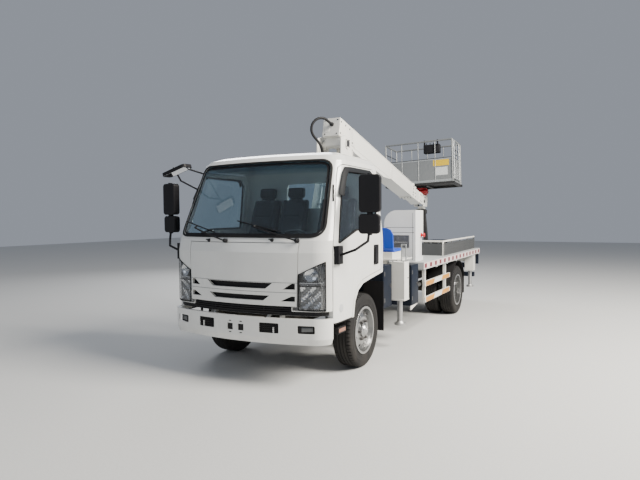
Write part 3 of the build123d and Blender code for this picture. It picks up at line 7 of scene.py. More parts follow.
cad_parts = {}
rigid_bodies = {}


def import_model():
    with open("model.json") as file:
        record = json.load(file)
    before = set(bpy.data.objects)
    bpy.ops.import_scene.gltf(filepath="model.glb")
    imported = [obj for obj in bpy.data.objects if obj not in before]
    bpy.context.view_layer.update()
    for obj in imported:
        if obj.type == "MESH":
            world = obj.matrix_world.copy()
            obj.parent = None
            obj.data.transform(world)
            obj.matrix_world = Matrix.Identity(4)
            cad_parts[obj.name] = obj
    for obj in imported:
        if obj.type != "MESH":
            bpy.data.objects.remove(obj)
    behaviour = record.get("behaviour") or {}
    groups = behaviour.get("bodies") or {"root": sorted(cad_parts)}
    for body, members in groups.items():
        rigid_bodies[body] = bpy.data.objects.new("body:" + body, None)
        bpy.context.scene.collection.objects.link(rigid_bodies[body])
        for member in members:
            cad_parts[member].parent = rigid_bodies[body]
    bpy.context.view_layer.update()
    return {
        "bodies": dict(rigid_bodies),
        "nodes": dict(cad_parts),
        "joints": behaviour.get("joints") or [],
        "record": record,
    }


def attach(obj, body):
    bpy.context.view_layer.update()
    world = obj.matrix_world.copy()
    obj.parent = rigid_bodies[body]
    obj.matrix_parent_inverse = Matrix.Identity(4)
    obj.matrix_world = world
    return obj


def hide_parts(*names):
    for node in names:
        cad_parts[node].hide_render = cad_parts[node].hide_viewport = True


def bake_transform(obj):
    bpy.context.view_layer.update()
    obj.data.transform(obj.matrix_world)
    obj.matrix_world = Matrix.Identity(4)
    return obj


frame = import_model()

# Aerial platform truck. All places below are in metres from the ground under the
# middle of the front axle; axleShift takes them to the frame's own origin.
axleShift = Vector((0, -2.264, 0))
nodes = frame["nodes"]
scene = bpy.context.scene


# camera, floor and light

view = {
    "place": (3.299, -5.559, 1.673),
    "yaw": 27.65,
    "pitch": -2.37,
    "roll": -0.43,
    "lens": 30.46,
}


def addCamera():
    yaw, pitch, roll = (math.radians(view[k]) for k in ("yaw", "pitch", "roll"))
    flat = math.cos(pitch)
    ahead = Vector((-math.sin(yaw) * flat, math.cos(yaw) * flat, math.sin(pitch)))
    side = Vector((math.cos(yaw), math.sin(yaw), 0))
    up = side.cross(ahead)
    right = side * math.cos(roll) + up * math.sin(roll)
    up = up * math.cos(roll) - side * math.sin(roll)
    data = bpy.data.cameras.new("photoCamera")
    data.sensor_width = 36
    data.lens = view["lens"]
    data.clip_end = 200
    camera = bpy.data.objects.new("photoCamera", data)
    turn = Matrix((right, up, -ahead)).transposed()
    camera.matrix_world = Matrix.Translation(Vector(view["place"]) + axleShift) @ turn.to_4x4()
    scene.collection.objects.link(camera)
    scene.camera = camera


studio = {
    "sky": (0.80, 0.87, 1.0),
    "skyStrength": 0.36,
    "floor": (0.56, 0.56, 0.55),
    "keyPower": 3500,
    "fillPower": 100,
    "rimPower": 450,
}


def addLight(name, place, target, size, power, colour):
    data = bpy.data.lights.new(name, "AREA")
    data.shape = "RECTANGLE"
    data.size, data.size_y = size
    data.energy = power
    data.color = colour
    light = bpy.data.objects.new(name, data)
    light.location = Vector(place) + axleShift
    light.rotation_mode = "QUATERNION"
    light.rotation_quaternion = (Vector(target) - Vector(place)).to_track_quat("-Z", "Y")
    scene.collection.objects.link(light)


def addStudio():
    world = bpy.data.worlds.new("studioWorld")
    scene.world = world
    world.use_nodes = True
    back = world.node_tree.nodes["Background"]
    back.inputs["Color"].default_value = (*studio["sky"], 1)
    back.inputs["Strength"].default_value = studio["skyStrength"]
    addLight("keyLight", (8.5, 0.5, 7.5), (0, 1.5, 1.0), (5, 5), studio["keyPower"],
             (1.0, 0.95, 0.86))
    addLight("fillLight", (-3.0, -8.5, 4.5), (0, 0, 1.2), (6, 4), studio["fillPower"],
             (0.86, 0.92, 1.0))
    addLight("rimLight", (-6.0, 8.0, 6.0), (0, 3, 1.5), (5, 4), studio["rimPower"],
             (0.95, 0.97, 1.0))
    bm = bmesh.new()
    bmesh.ops.create_grid(bm, x_segments=1, y_segments=1, size=30)
    mesh = bpy.data.meshes.new("studioFloor")
    bm.to_mesh(mesh)
    bm.free()
    floor = bpy.data.objects.new("studioFloor", mesh)
    scene.collection.objects.link(floor)
    mesh.materials.append(floorMaterial())


# shader node groups

def newGroup(name, inputs, outputs):
    group = bpy.data.node_groups.new(name, "ShaderNodeTree")
    for title, kind, value in inputs:
        socket = group.interface.new_socket(title, in_out="INPUT", socket_type="NodeSocket" + kind)
        if value is not None:
            socket.default_value = value
    for title, kind in outputs:
        group.interface.new_socket(title, in_out="OUTPUT", socket_type="NodeSocket" + kind)
    start = group.nodes.new("NodeGroupInput")
    end = group.nodes.new("NodeGroupOutput")
    return group, start, end


def mathNode(tree, operation, first, second=None, clamp=False):
    node = tree.nodes.new("ShaderNodeMath")
    node.operation = operation
    node.use_clamp = clamp
    for socket, value in zip(node.inputs, (first, second)):
        if value is None:
            continue
        if isinstance(value, (int, float)):
            socket.default_value = value
        else:
            tree.links.new(value, socket)
    return node.outputs[0]


def mixColour(tree, factor, first, second):
    node = tree.nodes.new("ShaderNodeMix")
    node.data_type = "RGBA"
    for index, value in ((0, factor), (6, first), (7, second)):
        if isinstance(value, (int, float)):
            node.inputs[index].default_value = value
        elif isinstance(value, tuple):
            node.inputs[index].default_value = (*value, 1)
        else:
            tree.links.new(value, node.inputs[index])
    return node.outputs[2]


def noiseNode(tree, vector, scale, detail=4, roughness=0.6):
    node = tree.nodes.new("ShaderNodeTexNoise")
    node.inputs["Detail"].default_value = detail
    node.inputs["Roughness"].default_value = roughness
    if isinstance(scale, (int, float)):
        node.inputs["Scale"].default_value = scale
    else:
        tree.links.new(scale, node.inputs["Scale"])
    tree.links.new(vector, node.inputs["Vector"])
    return node.outputs[0]


def rangeNode(tree, value, low, high, start=0.0, end=1.0):
    node = tree.nodes.new("ShaderNodeMapRange")
    for title, number in (("From Min", low), ("From Max", high), ("To Min", start),
                          ("To Max", end)):
        if isinstance(number, (int, float)):
            node.inputs[title].default_value = number
        else:
            tree.links.new(number, node.inputs[title])
    tree.links.new(value, node.inputs["Value"])
    return node.outputs[0]


def toneColour(tree, colour, tone):
    # a colour, or a socket that gives one, lightened and darkened by a tone
    node = tree.nodes.new("ShaderNodeVectorMath")
    node.operation = "SCALE"
    if isinstance(colour, tuple):
        node.inputs[0].default_value = colour
    else:
        tree.links.new(colour, node.inputs[0])
    tree.links.new(tone, node.inputs["Scale"])
    return node.outputs[0]


def makeRoadDirt():
    # dust that settles low on the truck and thins out with height, with soft vertical streaks
    group, start, end = newGroup("roadDirt", [
        ("Colour", "Color", (0.8, 0.8, 0.8, 1)),
        ("Dirt Colour", "Color", (0.30, 0.26, 0.21, 1)),
        ("Reach", "Float", 1.0),
        ("Amount", "Float", 0.3),
        ("Clean Roughness", "Float", 0.3),
    ], [("Colour", "Color"), ("Roughness", "Float"), ("Mask", "Float")])
    place = group.nodes.new("ShaderNodeTexCoord").outputs["Object"]
    split = group.nodes.new("ShaderNodeSeparateXYZ")
    group.links.new(place, split.inputs[0])
    low = rangeNode(group, split.outputs["Z"], 0.15, start.outputs["Reach"], 1.0, 0.0)
    stretch = group.nodes.new("ShaderNodeMapping")
    stretch.inputs["Scale"].default_value = (1, 1, 0.22)
    group.links.new(place, stretch.inputs["Vector"])
    streaks = rangeNode(group, noiseNode(group, stretch.outputs[0], 9.0, 5), 0.35, 0.75)
    specks = rangeNode(group, noiseNode(group, place, 160.0, 2), 0.5, 0.8)
    patches = rangeNode(group, noiseNode(group, place, 2.2, 3), 0.3, 0.7)
    marks = mathNode(group, "ADD", streaks, mathNode(group, "MULTIPLY", specks, 0.6))
    mask = mathNode(group, "MULTIPLY", low, marks)
    mask = mathNode(group, "ADD", mask, mathNode(group, "MULTIPLY", patches, 0.10))
    mask = mathNode(group, "MULTIPLY", mask, start.outputs["Amount"], clamp=True)
    colour = mixColour(group, mask, start.outputs["Colour"], start.outputs["Dirt Colour"])
    group.links.new(colour, end.inputs["Colour"])
    duller = mathNode(group, "MULTIPLY", mask, 0.5)
    rough = mathNode(group, "ADD", start.outputs["Clean Roughness"], duller, clamp=True)
    group.links.new(rough, end.inputs["Roughness"])
    group.links.new(mask, end.inputs["Mask"])
    return group


def makeEdgeWear():
    # rounded edges in the normal, and a mask that follows them
    group, start, end = newGroup("edgeWear", [
        ("Radius", "Float", 0.003),
        ("Break Up", "Float", 40.0),
    ], [("Normal", "Vector"), ("Mask", "Float")])
    soft = group.nodes.new("ShaderNodeBevel")
    soft.samples = 4
    group.links.new(start.outputs["Radius"], soft.inputs["Radius"])
    flat = group.nodes.new("ShaderNodeNewGeometry")
    dot = group.nodes.new("ShaderNodeVectorMath")
    dot.operation = "DOT_PRODUCT"
    group.links.new(soft.outputs[0], dot.inputs[0])
    group.links.new(flat.outputs["Normal"], dot.inputs[1])
    edge = rangeNode(group, dot.outputs["Value"], 0.995, 0.9)
    place = group.nodes.new("ShaderNodeTexCoord").outputs["Object"]
    chips = rangeNode(group, noiseNode(group, place, start.outputs["Break Up"], 5), 0.48, 0.62)
    group.links.new(soft.outputs[0], end.inputs["Normal"])
    group.links.new(mathNode(group, "MULTIPLY", edge, chips, clamp=True), end.inputs["Mask"])
    return group


def makeFineGrain():
    # moulded or brushed surface relief, with a slow change of tone over the piece
    group, start, end = newGroup("fineGrain", [
        ("Scale", "Float", 400.0),
        ("Stretch", "Vector", (1, 1, 1)),
        ("Tone Change", "Float", 0.1),
    ], [("Height", "Float"), ("Tone", "Float")])
    place = group.nodes.new("ShaderNodeTexCoord").outputs["Object"]
    stretch = group.nodes.new("ShaderNodeVectorMath")
    stretch.operation = "MULTIPLY"
    group.links.new(place, stretch.inputs[0])
    group.links.new(start.outputs["Stretch"], stretch.inputs[1])
    fine = noiseNode(group, stretch.outputs[0], start.outputs["Scale"], 3)
    slow = noiseNode(group, place, 3.0, 3)
    group.links.new(fine, end.inputs["Height"])
    swing = mathNode(group, "SUBTRACT", slow, 0.5)
    swing = mathNode(group, "MULTIPLY", swing, start.outputs["Tone Change"])
    group.links.new(mathNode(group, "ADD", swing, 1.0), end.inputs["Tone"])
    return group


roadDirt = makeRoadDirt()
edgeWear = makeEdgeWear()
fineGrain = makeFineGrain()


# materials

finishes = {
    # colour, roughness, metallic, coat, dirt reach, dirt amount,
    # grain scale, grain height, edge colour, edge amount
    "whitePaint": ((0.74, 0.74, 0.715), 0.26, 0.0, 0.55, 1.15, 0.22, 260, 0.00012,
                   (0.55, 0.54, 0.50), 0.10),
    "boomPaint": ((0.76, 0.75, 0.71), 0.38, 0.0, 0.25, 1.6, 0.25, 180, 0.0002, (0.33, 0.30, 0.27),
                  0.35),
    "chassisBlack": ((0.018, 0.019, 0.021), 0.5, 0.0, 0.1, 1.1, 0.55, 300, 0.0003,
                     (0.12, 0.10, 0.09), 0.35),
    "navyPaint": ((0.006, 0.010, 0.020), 0.50, 0.0, 0.0, 1.2, 0.035, 240, 0.0002,
                  (0.05, 0.055, 0.06), 0.3),
    "deckPaint": ((0.42, 0.44, 0.45), 0.6, 0.0, 0.0, 1.4, 0.5, 120, 0.0004, (0.2, 0.19, 0.18),
                  0.45),
    "redPaint": ((0.42, 0.008, 0.014), 0.36, 0.0, 0.3, 1.4, 0.12, 240, 0.0002, (0.2, 0.03, 0.03),
                 0.3),
    "bareSteel": ((0.52, 0.53, 0.54), 0.38, 0.9, 0.0, 1.2, 0.4, 300, 0.0004, (0.7, 0.7, 0.7), 0.3),
    "hardChrome": ((0.78, 0.79, 0.80), 0.12, 1.0, 0.0, 1.0, 0.05, 500, 0.00005, (0.9, 0.9, 0.9),
                   0.1),
    "engineIron": ((0.09, 0.088, 0.085), 0.62, 0.4, 0.0, 1.3, 0.6, 150, 0.0008, (0.16, 0.12, 0.10),
                   0.4),
    "wheelSilver": ((0.42, 0.425, 0.43), 0.26, 0.95, 0.1, 0.9, 0.22, 260, 0.0002, (0.8, 0.8, 0.8),
                    0.2),
    "blackPlastic": ((0.011, 0.011, 0.013), 0.46, 0.0, 0.0, 1.1, 0.08, 900, 0.0003,
                     (0.05, 0.05, 0.05), 0.25),
    "greyPlastic": ((0.105, 0.11, 0.12), 0.55, 0.0, 0.0, 1.0, 0.1, 800, 0.0004, (0.16, 0.16, 0.17),
                    0.2),
    "seatBlue": ((0.001, 0.060, 0.50), 0.36, 0.0, 0.1, 1.0, 0.1, 500, 0.0002, (0.05, 0.2, 0.6),
                 0.2),
    "coverWhite": ((0.72, 0.73, 0.735), 0.42, 0.0, 0.1, 1.3, 0.25, 200, 0.0003, (0.6, 0.6, 0.6),
                   0.2),
    "rubber": ((0.010, 0.010, 0.011), 0.62, 0.0, 0.0, 0.7, 0.15, 500, 0.0005, (0.06, 0.06, 0.06),
               0.3),
    "amberLens": ((0.75, 0.20, 0.01), 0.2, 0.0, 0.4, 1.0, 0.15, 600, 0.0002, (0.8, 0.3, 0.05),
                  0.1),
    "redLens": ((0.50, 0.008, 0.012), 0.2, 0.0, 0.4, 1.0, 0.15, 600, 0.0002, (0.6, 0.05, 0.05),
                0.1),
    "mirrorGlass": ((0.82, 0.84, 0.86), 0.04, 1.0, 0.0, 1.0, 0.02, 300, 0.00002, (0.6, 0.6, 0.6),
                    0.1),
    "lampHousing": ((0.13, 0.135, 0.14), 0.30, 0.6, 0.0, 1.0, 0.02, 300, 0.0001, (0.3, 0.3, 0.3),
                    0.1),
    # the tray's walls: their galvanised grey darkened with painted shade, as of walls standing in
    # shadow
    "trayGrey": ((0.085, 0.09, 0.095), 0.5, 0.3, 0.0, 1.3, 0.25, 90, 0.0003, (0.3, 0.3, 0.3), 0.3),
    "lampBowl": ((0.58, 0.59, 0.60), 0.08, 1.0, 0.0, 1.0, 0.0, 300, 0.0001, (0.8, 0.8, 0.8), 0.1),
    "tyreRubber": ((0.016, 0.016, 0.017), 0.70, 0.0, 0.0, 0.95, 0.07, 420, 0.0004,
                   (0.07, 0.068, 0.065), 0.3),
    "hoseRubber": ((0.020, 0.020, 0.022), 0.45, 0.0, 0.0, 1.0, 0.2, 700, 0.0004,
                   (0.05, 0.05, 0.05), 0.2),
    "darkSteel": ((0.10, 0.10, 0.105), 0.42, 0.8, 0.0, 0.9, 0.3, 300, 0.0003, (0.3, 0.3, 0.3),
                  0.4),
    "galvanised": ((0.40, 0.42, 0.43), 0.42, 0.65, 0.0, 1.3, 0.3, 45, 0.0003, (0.6, 0.6, 0.6),
                   0.3),
    "basketMetal": ((0.22, 0.23, 0.235), 0.42, 0.5, 0.0, 1.0, 0.12, 60, 0.0003, (0.55, 0.55, 0.55),
                    0.35),
    "smokedVisor": ((0.008, 0.009, 0.011), 0.60, 0.0, 0.0, 1.0, 0.04, 500, 0.00005,
                    (0.05, 0.05, 0.06), 0.1),
    "plateBlank": ((0.52, 0.54, 0.55), 0.35, 0.0, 0.2, 1.2, 0.3, 400, 0.0001, (0.3, 0.3, 0.3),
                   0.3),
    "plateYellow": ((0.60, 0.40, 0.010), 0.42, 0.0, 0.0, 1.0, 0.1, 400, 0.0001, (0.4, 0.3, 0.1),
                    0.3),
    # coppery gloss for the steps' outer sides: a painted reflection
    "copperLens": ((0.30, 0.10, 0.05), 0.22, 0.3, 0.4, 1.0, 0.3, 600, 0.0002, (0.4, 0.2, 0.1),
                   0.1),
    "stopRed": ((0.50, 0.004, 0.010), 0.30, 0.0, 0.3, 1.0, 0.08, 500, 0.0001, (0.7, 0.05, 0.05),
                0.2),
    "tapePale": ((0.72, 0.60, 0.585), 0.34, 0.0, 0.1, 1.25, 0.3, 500, 0.0001, (0.5, 0.4, 0.4),
                 0.2),
    "tapeRed": ((0.15, 0.008, 0.020), 0.36, 0.0, 0.0, 1.25, 0.10, 500, 0.0001, (0.3, 0.05, 0.05),
                0.2),
    "tapeAmber": ((0.62, 0.25, 0.002), 0.36, 0.0, 0.0, 1.1, 0.06, 500, 0.0001, (0.6, 0.3, 0.05),
                  0.2),
    "tapeWhite": ((0.76, 0.75, 0.72), 0.32, 0.0, 0.1, 1.1, 0.2, 500, 0.0001, (0.5, 0.5, 0.48),
                  0.2),
}


def groupNode(tree, group, **values):
    node = tree.nodes.new("ShaderNodeGroup")
    node.node_tree = group
    for title, value in values.items():
        socket = node.inputs[title.replace("_", " ")]
        if isinstance(value, bpy.types.NodeSocket):
            tree.links.new(value, socket)
        else:
            socket.default_value = value
    return node


def newMaterial(name):
    material = bpy.data.materials.new(name)
    material.use_nodes = True
    tree = material.node_tree
    return material, tree, tree.nodes["Principled BSDF"]


def bumpInto(tree, shader, height, distance, normal=None):
    bump = tree.nodes.new("ShaderNodeBump")
    bump.inputs["Strength"].default_value = 1.0
    bump.inputs["Distance"].default_value = distance
    tree.links.new(height, bump.inputs["Height"])
    if normal is not None:
        tree.links.new(normal, bump.inputs["Normal"])
    tree.links.new(bump.outputs[0], shader.inputs["Normal"])


def paintedMaterial(name):
    colour, rough, metal, coat, *dirtAndGrain = finishes[name]
    reach, amount, scale, height, edgeColour, edgeAmount = dirtAndGrain
    material, tree, shader = newMaterial(name)
    grain = groupNode(tree, fineGrain, Scale=float(scale), Tone_Change=0.16)
    toned = toneColour(tree, colour, grain.outputs["Tone"])
    edge = groupNode(tree, edgeWear, Radius=0.003, Break_Up=45.0)
    edgeMask = mathNode(tree, "MULTIPLY", edge.outputs["Mask"], edgeAmount)
    worn = mixColour(tree, edgeMask, toned, edgeColour)
    dirt = groupNode(tree, roadDirt, Colour=worn, Reach=reach, Amount=amount,
                     Clean_Roughness=rough)
    tree.links.new(dirt.outputs["Colour"], shader.inputs["Base Color"])
    tree.links.new(dirt.outputs["Roughness"], shader.inputs["Roughness"])
    shader.inputs["Metallic"].default_value = metal
    shader.inputs["Coat Weight"].default_value = coat
    shader.inputs["Coat Roughness"].default_value = 0.08
    # dark finishes are matt, so that the pale studio doesn't wash them out
    shader.inputs["Specular IOR Level"].default_value = 0.5 if max(colour) > 0.1 else 0.16
    bumpInto(tree, shader, grain.outputs["Height"], height, edge.outputs["Normal"])
    return material


def floorMaterial():
    material, tree, shader = newMaterial("studioFloor")
    place = tree.nodes.new("ShaderNodeTexCoord").outputs["Object"]
    noise = noiseNode(tree, place, 45.0, 6)
    darker, paler = (tuple(c * share for c in studio["floor"]) for share in (0.97, 1.03))
    colour = mixColour(tree, rangeNode(tree, noise, 0.3, 0.7), darker, paler)
    tree.links.new(colour, shader.inputs["Base Color"])
    shader.inputs["Roughness"].default_value = 0.85
    bumpInto(tree, shader, noise, 0.001)
    return material


glazing = {
    "window": (0.56, 0.67, 0.72),
    "band": (0.15, 0.28, 0.38),
    "bandRise": (2.120, 2.190),  # heights where the tinted band starts and is full
    "lens": (0.95, 0.96, 0.97),
}


def glassMaterial(name, colour, tint=None):
    # thin glazing, clear straight on and glossy at a slant,
    # with a tinted band at its top where asked
    material, tree, shader = newMaterial(name)
    grain = groupNode(tree, fineGrain, Scale=14.0, Tone_Change=0.1)
    shade = colour
    if tint:
        height = tree.nodes.new("ShaderNodeSeparateXYZ")
        place = tree.nodes.new("ShaderNodeTexCoord").outputs["Object"]
        tree.links.new(place, height.inputs[0])
        band = rangeNode(tree, height.outputs["Z"], *glazing["bandRise"])
        shade = mixColour(tree, band, colour, tint)
    toned = toneColour(tree, shade, grain.outputs["Tone"])
    tree.links.new(toned, shader.inputs["Base Color"])
    rough = rangeNode(tree, grain.outputs["Height"], 0.3, 0.8, 0.01, 0.04)
    tree.links.new(rough, shader.inputs["Roughness"])
    shader.inputs["Transmission Weight"].default_value = 1.0
    shader.inputs["IOR"].default_value = 1.1
    shader.inputs["Coat Weight"].default_value = 1.0
    shader.inputs["Coat Roughness"].default_value = 0.03
    bumpInto(tree, shader, grain.outputs["Height"], 0.0003)
    return material


materials = {name: paintedMaterial(name) for name in finishes}
materials["cabGlazing"] = glassMaterial("cabGlazing", glazing["window"], glazing["band"])
materials["clearLens"] = glassMaterial("clearLens", glazing["lens"])

fabric = {"colour": (0.055, 0.06, 0.07), "threads": 220}


def seatFabricMaterial():
    material, tree, shader = newMaterial("seatFabric")
    place = tree.nodes.new("ShaderNodeTexCoord").outputs["Object"]
    heights = []
    for direction in ("X", "Z"):
        wave = tree.nodes.new("ShaderNodeTexWave")
        wave.bands_direction = direction
        wave.inputs["Scale"].default_value = fabric["threads"]
        wave.inputs["Distortion"].default_value = 0.6
        tree.links.new(place, wave.inputs["Vector"])
        heights.append(wave.outputs[1])
    weave = mathNode(tree, "MAXIMUM", *heights)
    grain = groupNode(tree, fineGrain, Scale=60.0, Tone_Change=0.3)
    threads = rangeNode(tree, weave, 0.2, 1.0, 0.65, 1.1)
    tone = mathNode(tree, "MULTIPLY", grain.outputs["Tone"], threads)
    toned = toneColour(tree, fabric["colour"], tone)
    tree.links.new(toned, shader.inputs["Base Color"])
    shader.inputs["Roughness"].default_value = 0.85
    shader.inputs["Sheen Weight"].default_value = 0.3
    bumpInto(tree, shader, weave, 0.0008)
    return material


materials["seatFabric"] = seatFabricMaterial()
print("materials made:", len(materials))

nodeFinish = {
    "whitePaint": ["cab_shell", "front_lid", "door_left", "door_right", "bumper"],
    "boomPaint": ["subframe", "side_guards", "seat_stand", "column", "luff_barrel", "boom_base",
                  "boom_middle", "boom_inner", "basket_carrier",
                  "outrigger_beam_left", "outrigger_beam_right"],
    "chassisBlack": ["frame_rails", "boom_rest", "front_axle", "rear_axle", "leaf_springs",
                     "fuel_tank", "basket_floor"],
    "navyPaint": ["lockers", "rear_bar"],
    "deckPaint": ["deck"],
    "redPaint": ["basket_drive"],
    "basketMetal": ["basket"],
    "trayGrey": ["deck_tray"],
    "bareSteel": ["exhaust", "jack_front_left", "jack_front_right", "jack_rear_left",
                  "jack_rear_right"],
    "hardChrome": ["luff_ram"],
    "engineIron": ["power_unit", "knuckle_left", "knuckle_right"],
    "wheelSilver": ["rim_front_left", "rim_front_right", "rims_rear_left", "rims_rear_right"],
    "blackPlastic": ["mudguards", "grille", "look_down_mirror", "mirror_left", "mirror_right"],
    "greyPlastic": ["cab_interior"],
    "seatBlue": ["operator_seat"],
    "coverWhite": ["operator_station"],
    "rubber": ["tyre_front_left", "tyre_front_right", "tyres_rear_left", "tyres_rear_right",
               "hose"],
    "seatFabric": ["cab_seats"],
    "cabGlazing": ["cab_glass", "door_glass_left", "door_glass_right"],
    "clearLens": ["headlamps"],
}


def paintNode(name, finish):
    if not nodes[name].material_slots:
        nodes[name].data.materials.append(materials[finish])
    for slot in nodes[name].material_slots:
        slot.material = materials[finish]


for finish, names in nodeFinish.items():
    for name in names:
        paintNode(name, finish)
print("frame nodes painted:", sum(len(v) for v in nodeFinish.values()))

# the library's slot for pieces of each finish
slotOf = {
    "bare_steel": ["bareSteel", "darkSteel", "galvanised", "trayGrey"],
    "black_plastic": ["blackPlastic", "rubber", "smokedVisor"],
    "white_paint": ["boomPaint", "tapePale", "tapeWhite", "tapeAmber"],
    "red_paint": ["redPaint", "stopRed", "tapeRed"],
    "lamp_clear": ["clearLens", "copperLens", "lampHousing"],
    "hard_chrome": ["lampBowl", "mirrorGlass"],
    "cover_white": ["plateBlank", "plateYellow"],
    "grey_plastic": ["greyPlastic"],
    "chassis_black": ["chassisBlack"],
    "engine_iron": ["engineIron"],
    "navy_paint": ["navyPaint"],
    "seat_fabric": ["seatFabric"],
    "tyre_rubber": ["tyreRubber"],
}
slotOf = {finish: slot for slot, names in slotOf.items() for finish in names}

addCamera()
addStudio()
print("camera and studio set")


# shared modelling moves

def newBox(bm, x0, x1, y0, y1, z0, z1):
    size = Matrix.Diagonal((x1 - x0, y1 - y0, z1 - z0, 1))
    middle = Matrix.Translation(((x0 + x1) / 2, (y0 + y1) / 2, (z0 + z1) / 2))
    return bmesh.ops.create_cube(bm, size=1, matrix=middle @ size)["verts"]


def newRod(bm, start, end, radius, segments=12, endRadius=None, caps=True):
    start, end = Vector(start), Vector(end)
    turn = (end - start).to_track_quat("Z", "Y").to_matrix().to_4x4()
    middle = Matrix.Translation((start + end) / 2)
    return bmesh.ops.create_cone(
        bm, cap_ends=caps, segments=segments, radius1=radius,
        radius2=radius if endRadius is None else endRadius,
        depth=(end - start).length, matrix=middle @ turn)["verts"]


def newBall(bm, place, radius, segments=12):
    return bmesh.ops.create_uvsphere(
        bm, u_segments=segments, v_segments=max(6, segments // 2), radius=radius,
        matrix=Matrix.Translation(place))["verts"]


def newPipe(bm, points, radius, segments=10):
    for a, b in zip(points, points[1:]):
        newRod(bm, a, b, radius, segments)
    for p in points[1:-1]:
        newBall(bm, p, radius * 1.01, segments)


def newPlate(bm, corners, x0, x1):
    # a plate across X from its (y, z) corners
    face = bm.faces.new([bm.verts.new((x0, y, z)) for y, z in corners])
    made = bmesh.ops.extrude_face_region(bm, geom=[face])["geom"]
    bmesh.ops.translate(bm, verts=onlyVerts(made), vec=(x1 - x0, 0, 0))


def newBolt(bm, place, out, radius=0.009, height=0.007):
    # a washer with a hexagon head on it
    place, out = Vector(place), Vector(out).normalized()
    newRod(bm, place - out * 0.001, place + out * 0.0025, radius * 1.35, 16)
    newRod(bm, place, place + out * height, radius, 6)


def onlyVerts(geom):
    return [g for g in geom if isinstance(g, bmesh.types.BMVert)]


def turned(place, degrees, axis):
    return Matrix.Translation(place) @ Matrix.Rotation(math.radians(degrees), 4, axis)


def ringOf(count, radius, start=0.0):
    # places spaced evenly round a circle
    for k in range(count):
        turn = math.tau / count * (k + start)
        yield radius * math.cos(turn), radius * math.sin(turn)


def spread(low, high, count):
    # evenly spaced from one value to the other, both included
    return [low + (high - low) * k / (count - 1) for k in range(count)]


def bevelAll(bm, width, segments=2, angle=35):
    limit = math.radians(angle)
    edges = [e for e in bm.edges if len(e.link_faces) == 2 and e.calc_face_angle(0) > limit]
    bmesh.ops.bevel(bm, geom=edges, offset=width, segments=segments, affect="EDGES",
                    profile=0.5, material=-1)


def pressIn(bm, way, margin, lip, depth):
    # on the faces that look one way: a flat margin, then a step inside it
    faces = [f for f in bm.faces if f.normal.dot(way) > 0.95]
    bmesh.ops.inset_region(bm, faces=faces, thickness=margin)
    inside = [f for f in faces if f.is_valid]
    bmesh.ops.inset_region(bm, faces=inside, thickness=lip, depth=depth)


def faceSheet(bm, way):
    # turns an open sheet so that its outside looks one way
    bmesh.ops.recalc_face_normals(bm, faces=bm.faces)
    if sum(f.normal.dot(way) for f in bm.faces) < 0:
        bmesh.ops.reverse_faces(bm, faces=bm.faces)


def cutFrame(bm, face, width):
    # leaves a frame of even width inside a face's outline
    bm.normal_update()
    bmesh.ops.inset_region(bm, faces=[face], thickness=width, use_even_offset=True,
                           use_boundary=True)
    bmesh.ops.delete(bm, geom=[face], context="FACES")


def addMesh(bm, other):
    # a copy of one bmesh inside another
    mesh = bpy.data.meshes.new("copy")
    other.to_mesh(mesh)
    other.free()
    bm.from_mesh(mesh)
    bpy.data.meshes.remove(mesh)


def mirrorAcross(bm):
    # a copy of everything on the truck's other side
    made = bmesh.ops.duplicate(bm, geom=bm.verts[:] + bm.edges[:] + bm.faces[:])["geom"]
    bmesh.ops.scale(bm, vec=(-1, 1, 1), verts=onlyVerts(made))
    bmesh.ops.reverse_faces(bm, faces=[g for g in made if isinstance(g, bmesh.types.BMFace)])


def finishPiece(name, bm, finish, body, slot=None, smooth=32, recalc=True, standsFor=()):
    slot = slot or slotOf[finish]
    if recalc:
        bmesh.ops.remove_doubles(bm, verts=bm.verts, dist=0.00001)
        bmesh.ops.recalc_face_normals(bm, faces=bm.faces)
    bmesh.ops.translate(bm, verts=bm.verts, vec=axleShift)
    mesh = bpy.data.meshes.new(name)
    bm.to_mesh(mesh)
    bm.free()
    mesh.materials.append(materials[finish])
    piece = bpy.data.objects.new(name, mesh)
    scene.collection.objects.link(piece)
    if smooth:
        mesh.shade_smooth()
        mesh.set_sharp_from_angle(angle=math.radians(smooth))
    if standsFor:
        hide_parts(*standsFor)
    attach(piece, body)
    return piece


# hose loop at the boom's tail

hoseRun = {
    "points": [
        (0.010, 1.0800, 2.9396), (0.010, 1.0173, 2.9541), (-0.026, 0.9270, 3.0060),
        (-0.097, 0.8445, 2.9870), (-0.150, 0.8010, 2.9010), (-0.158, 0.8190, 2.7880),
        (-0.102, 0.9285, 2.6835), (-0.090, 0.9853, 2.6000), (-0.090, 1.0041, 2.5270),
        (-0.090, 1.0041, 2.4600),
    ],
    "radius": 0.018,
    # a nut's radius, then its sleeve's at the nut and at the hose
    "upperGland": (0.030, 0.024, 0.0195),
    "lowerGland": (0.027, 0.023, 0.0195),
}


def addHose():
    data = bpy.data.curves.new("hoseLine", "CURVE")
    data.dimensions = "3D"
    spline = data.splines.new("NURBS")
    spline.points.add(len(hoseRun["points"]) - 1)
    for point, place in zip(spline.points, hoseRun["points"]):
        point.co = (*(Vector(place) + axleShift), 1)
    spline.order_u = 3
    spline.use_endpoint_u = True
    spline.resolution_u = 14
    line = bpy.data.objects.new("hoseLine", data)
    scene.collection.objects.link(line)
    bpy.context.view_layer.update()
    path = [v.co.copy() for v in bpy.data.meshes.new_from_object(line).vertices]
    data.bevel_depth = hoseRun["radius"]
    data.bevel_resolution = 5
    data.use_fill_caps = True
    bpy.context.view_layer.update()
    mesh = bpy.data.meshes.new_from_object(line)
    bpy.data.objects.remove(line)
    mesh.materials.clear()
    mesh.materials.append(materials["hoseRubber"])
    mesh.shade_smooth()
    piece = bpy.data.objects.new("boomHose", mesh)
    scene.collection.objects.link(piece)
    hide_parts("hose")
    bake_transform(piece)


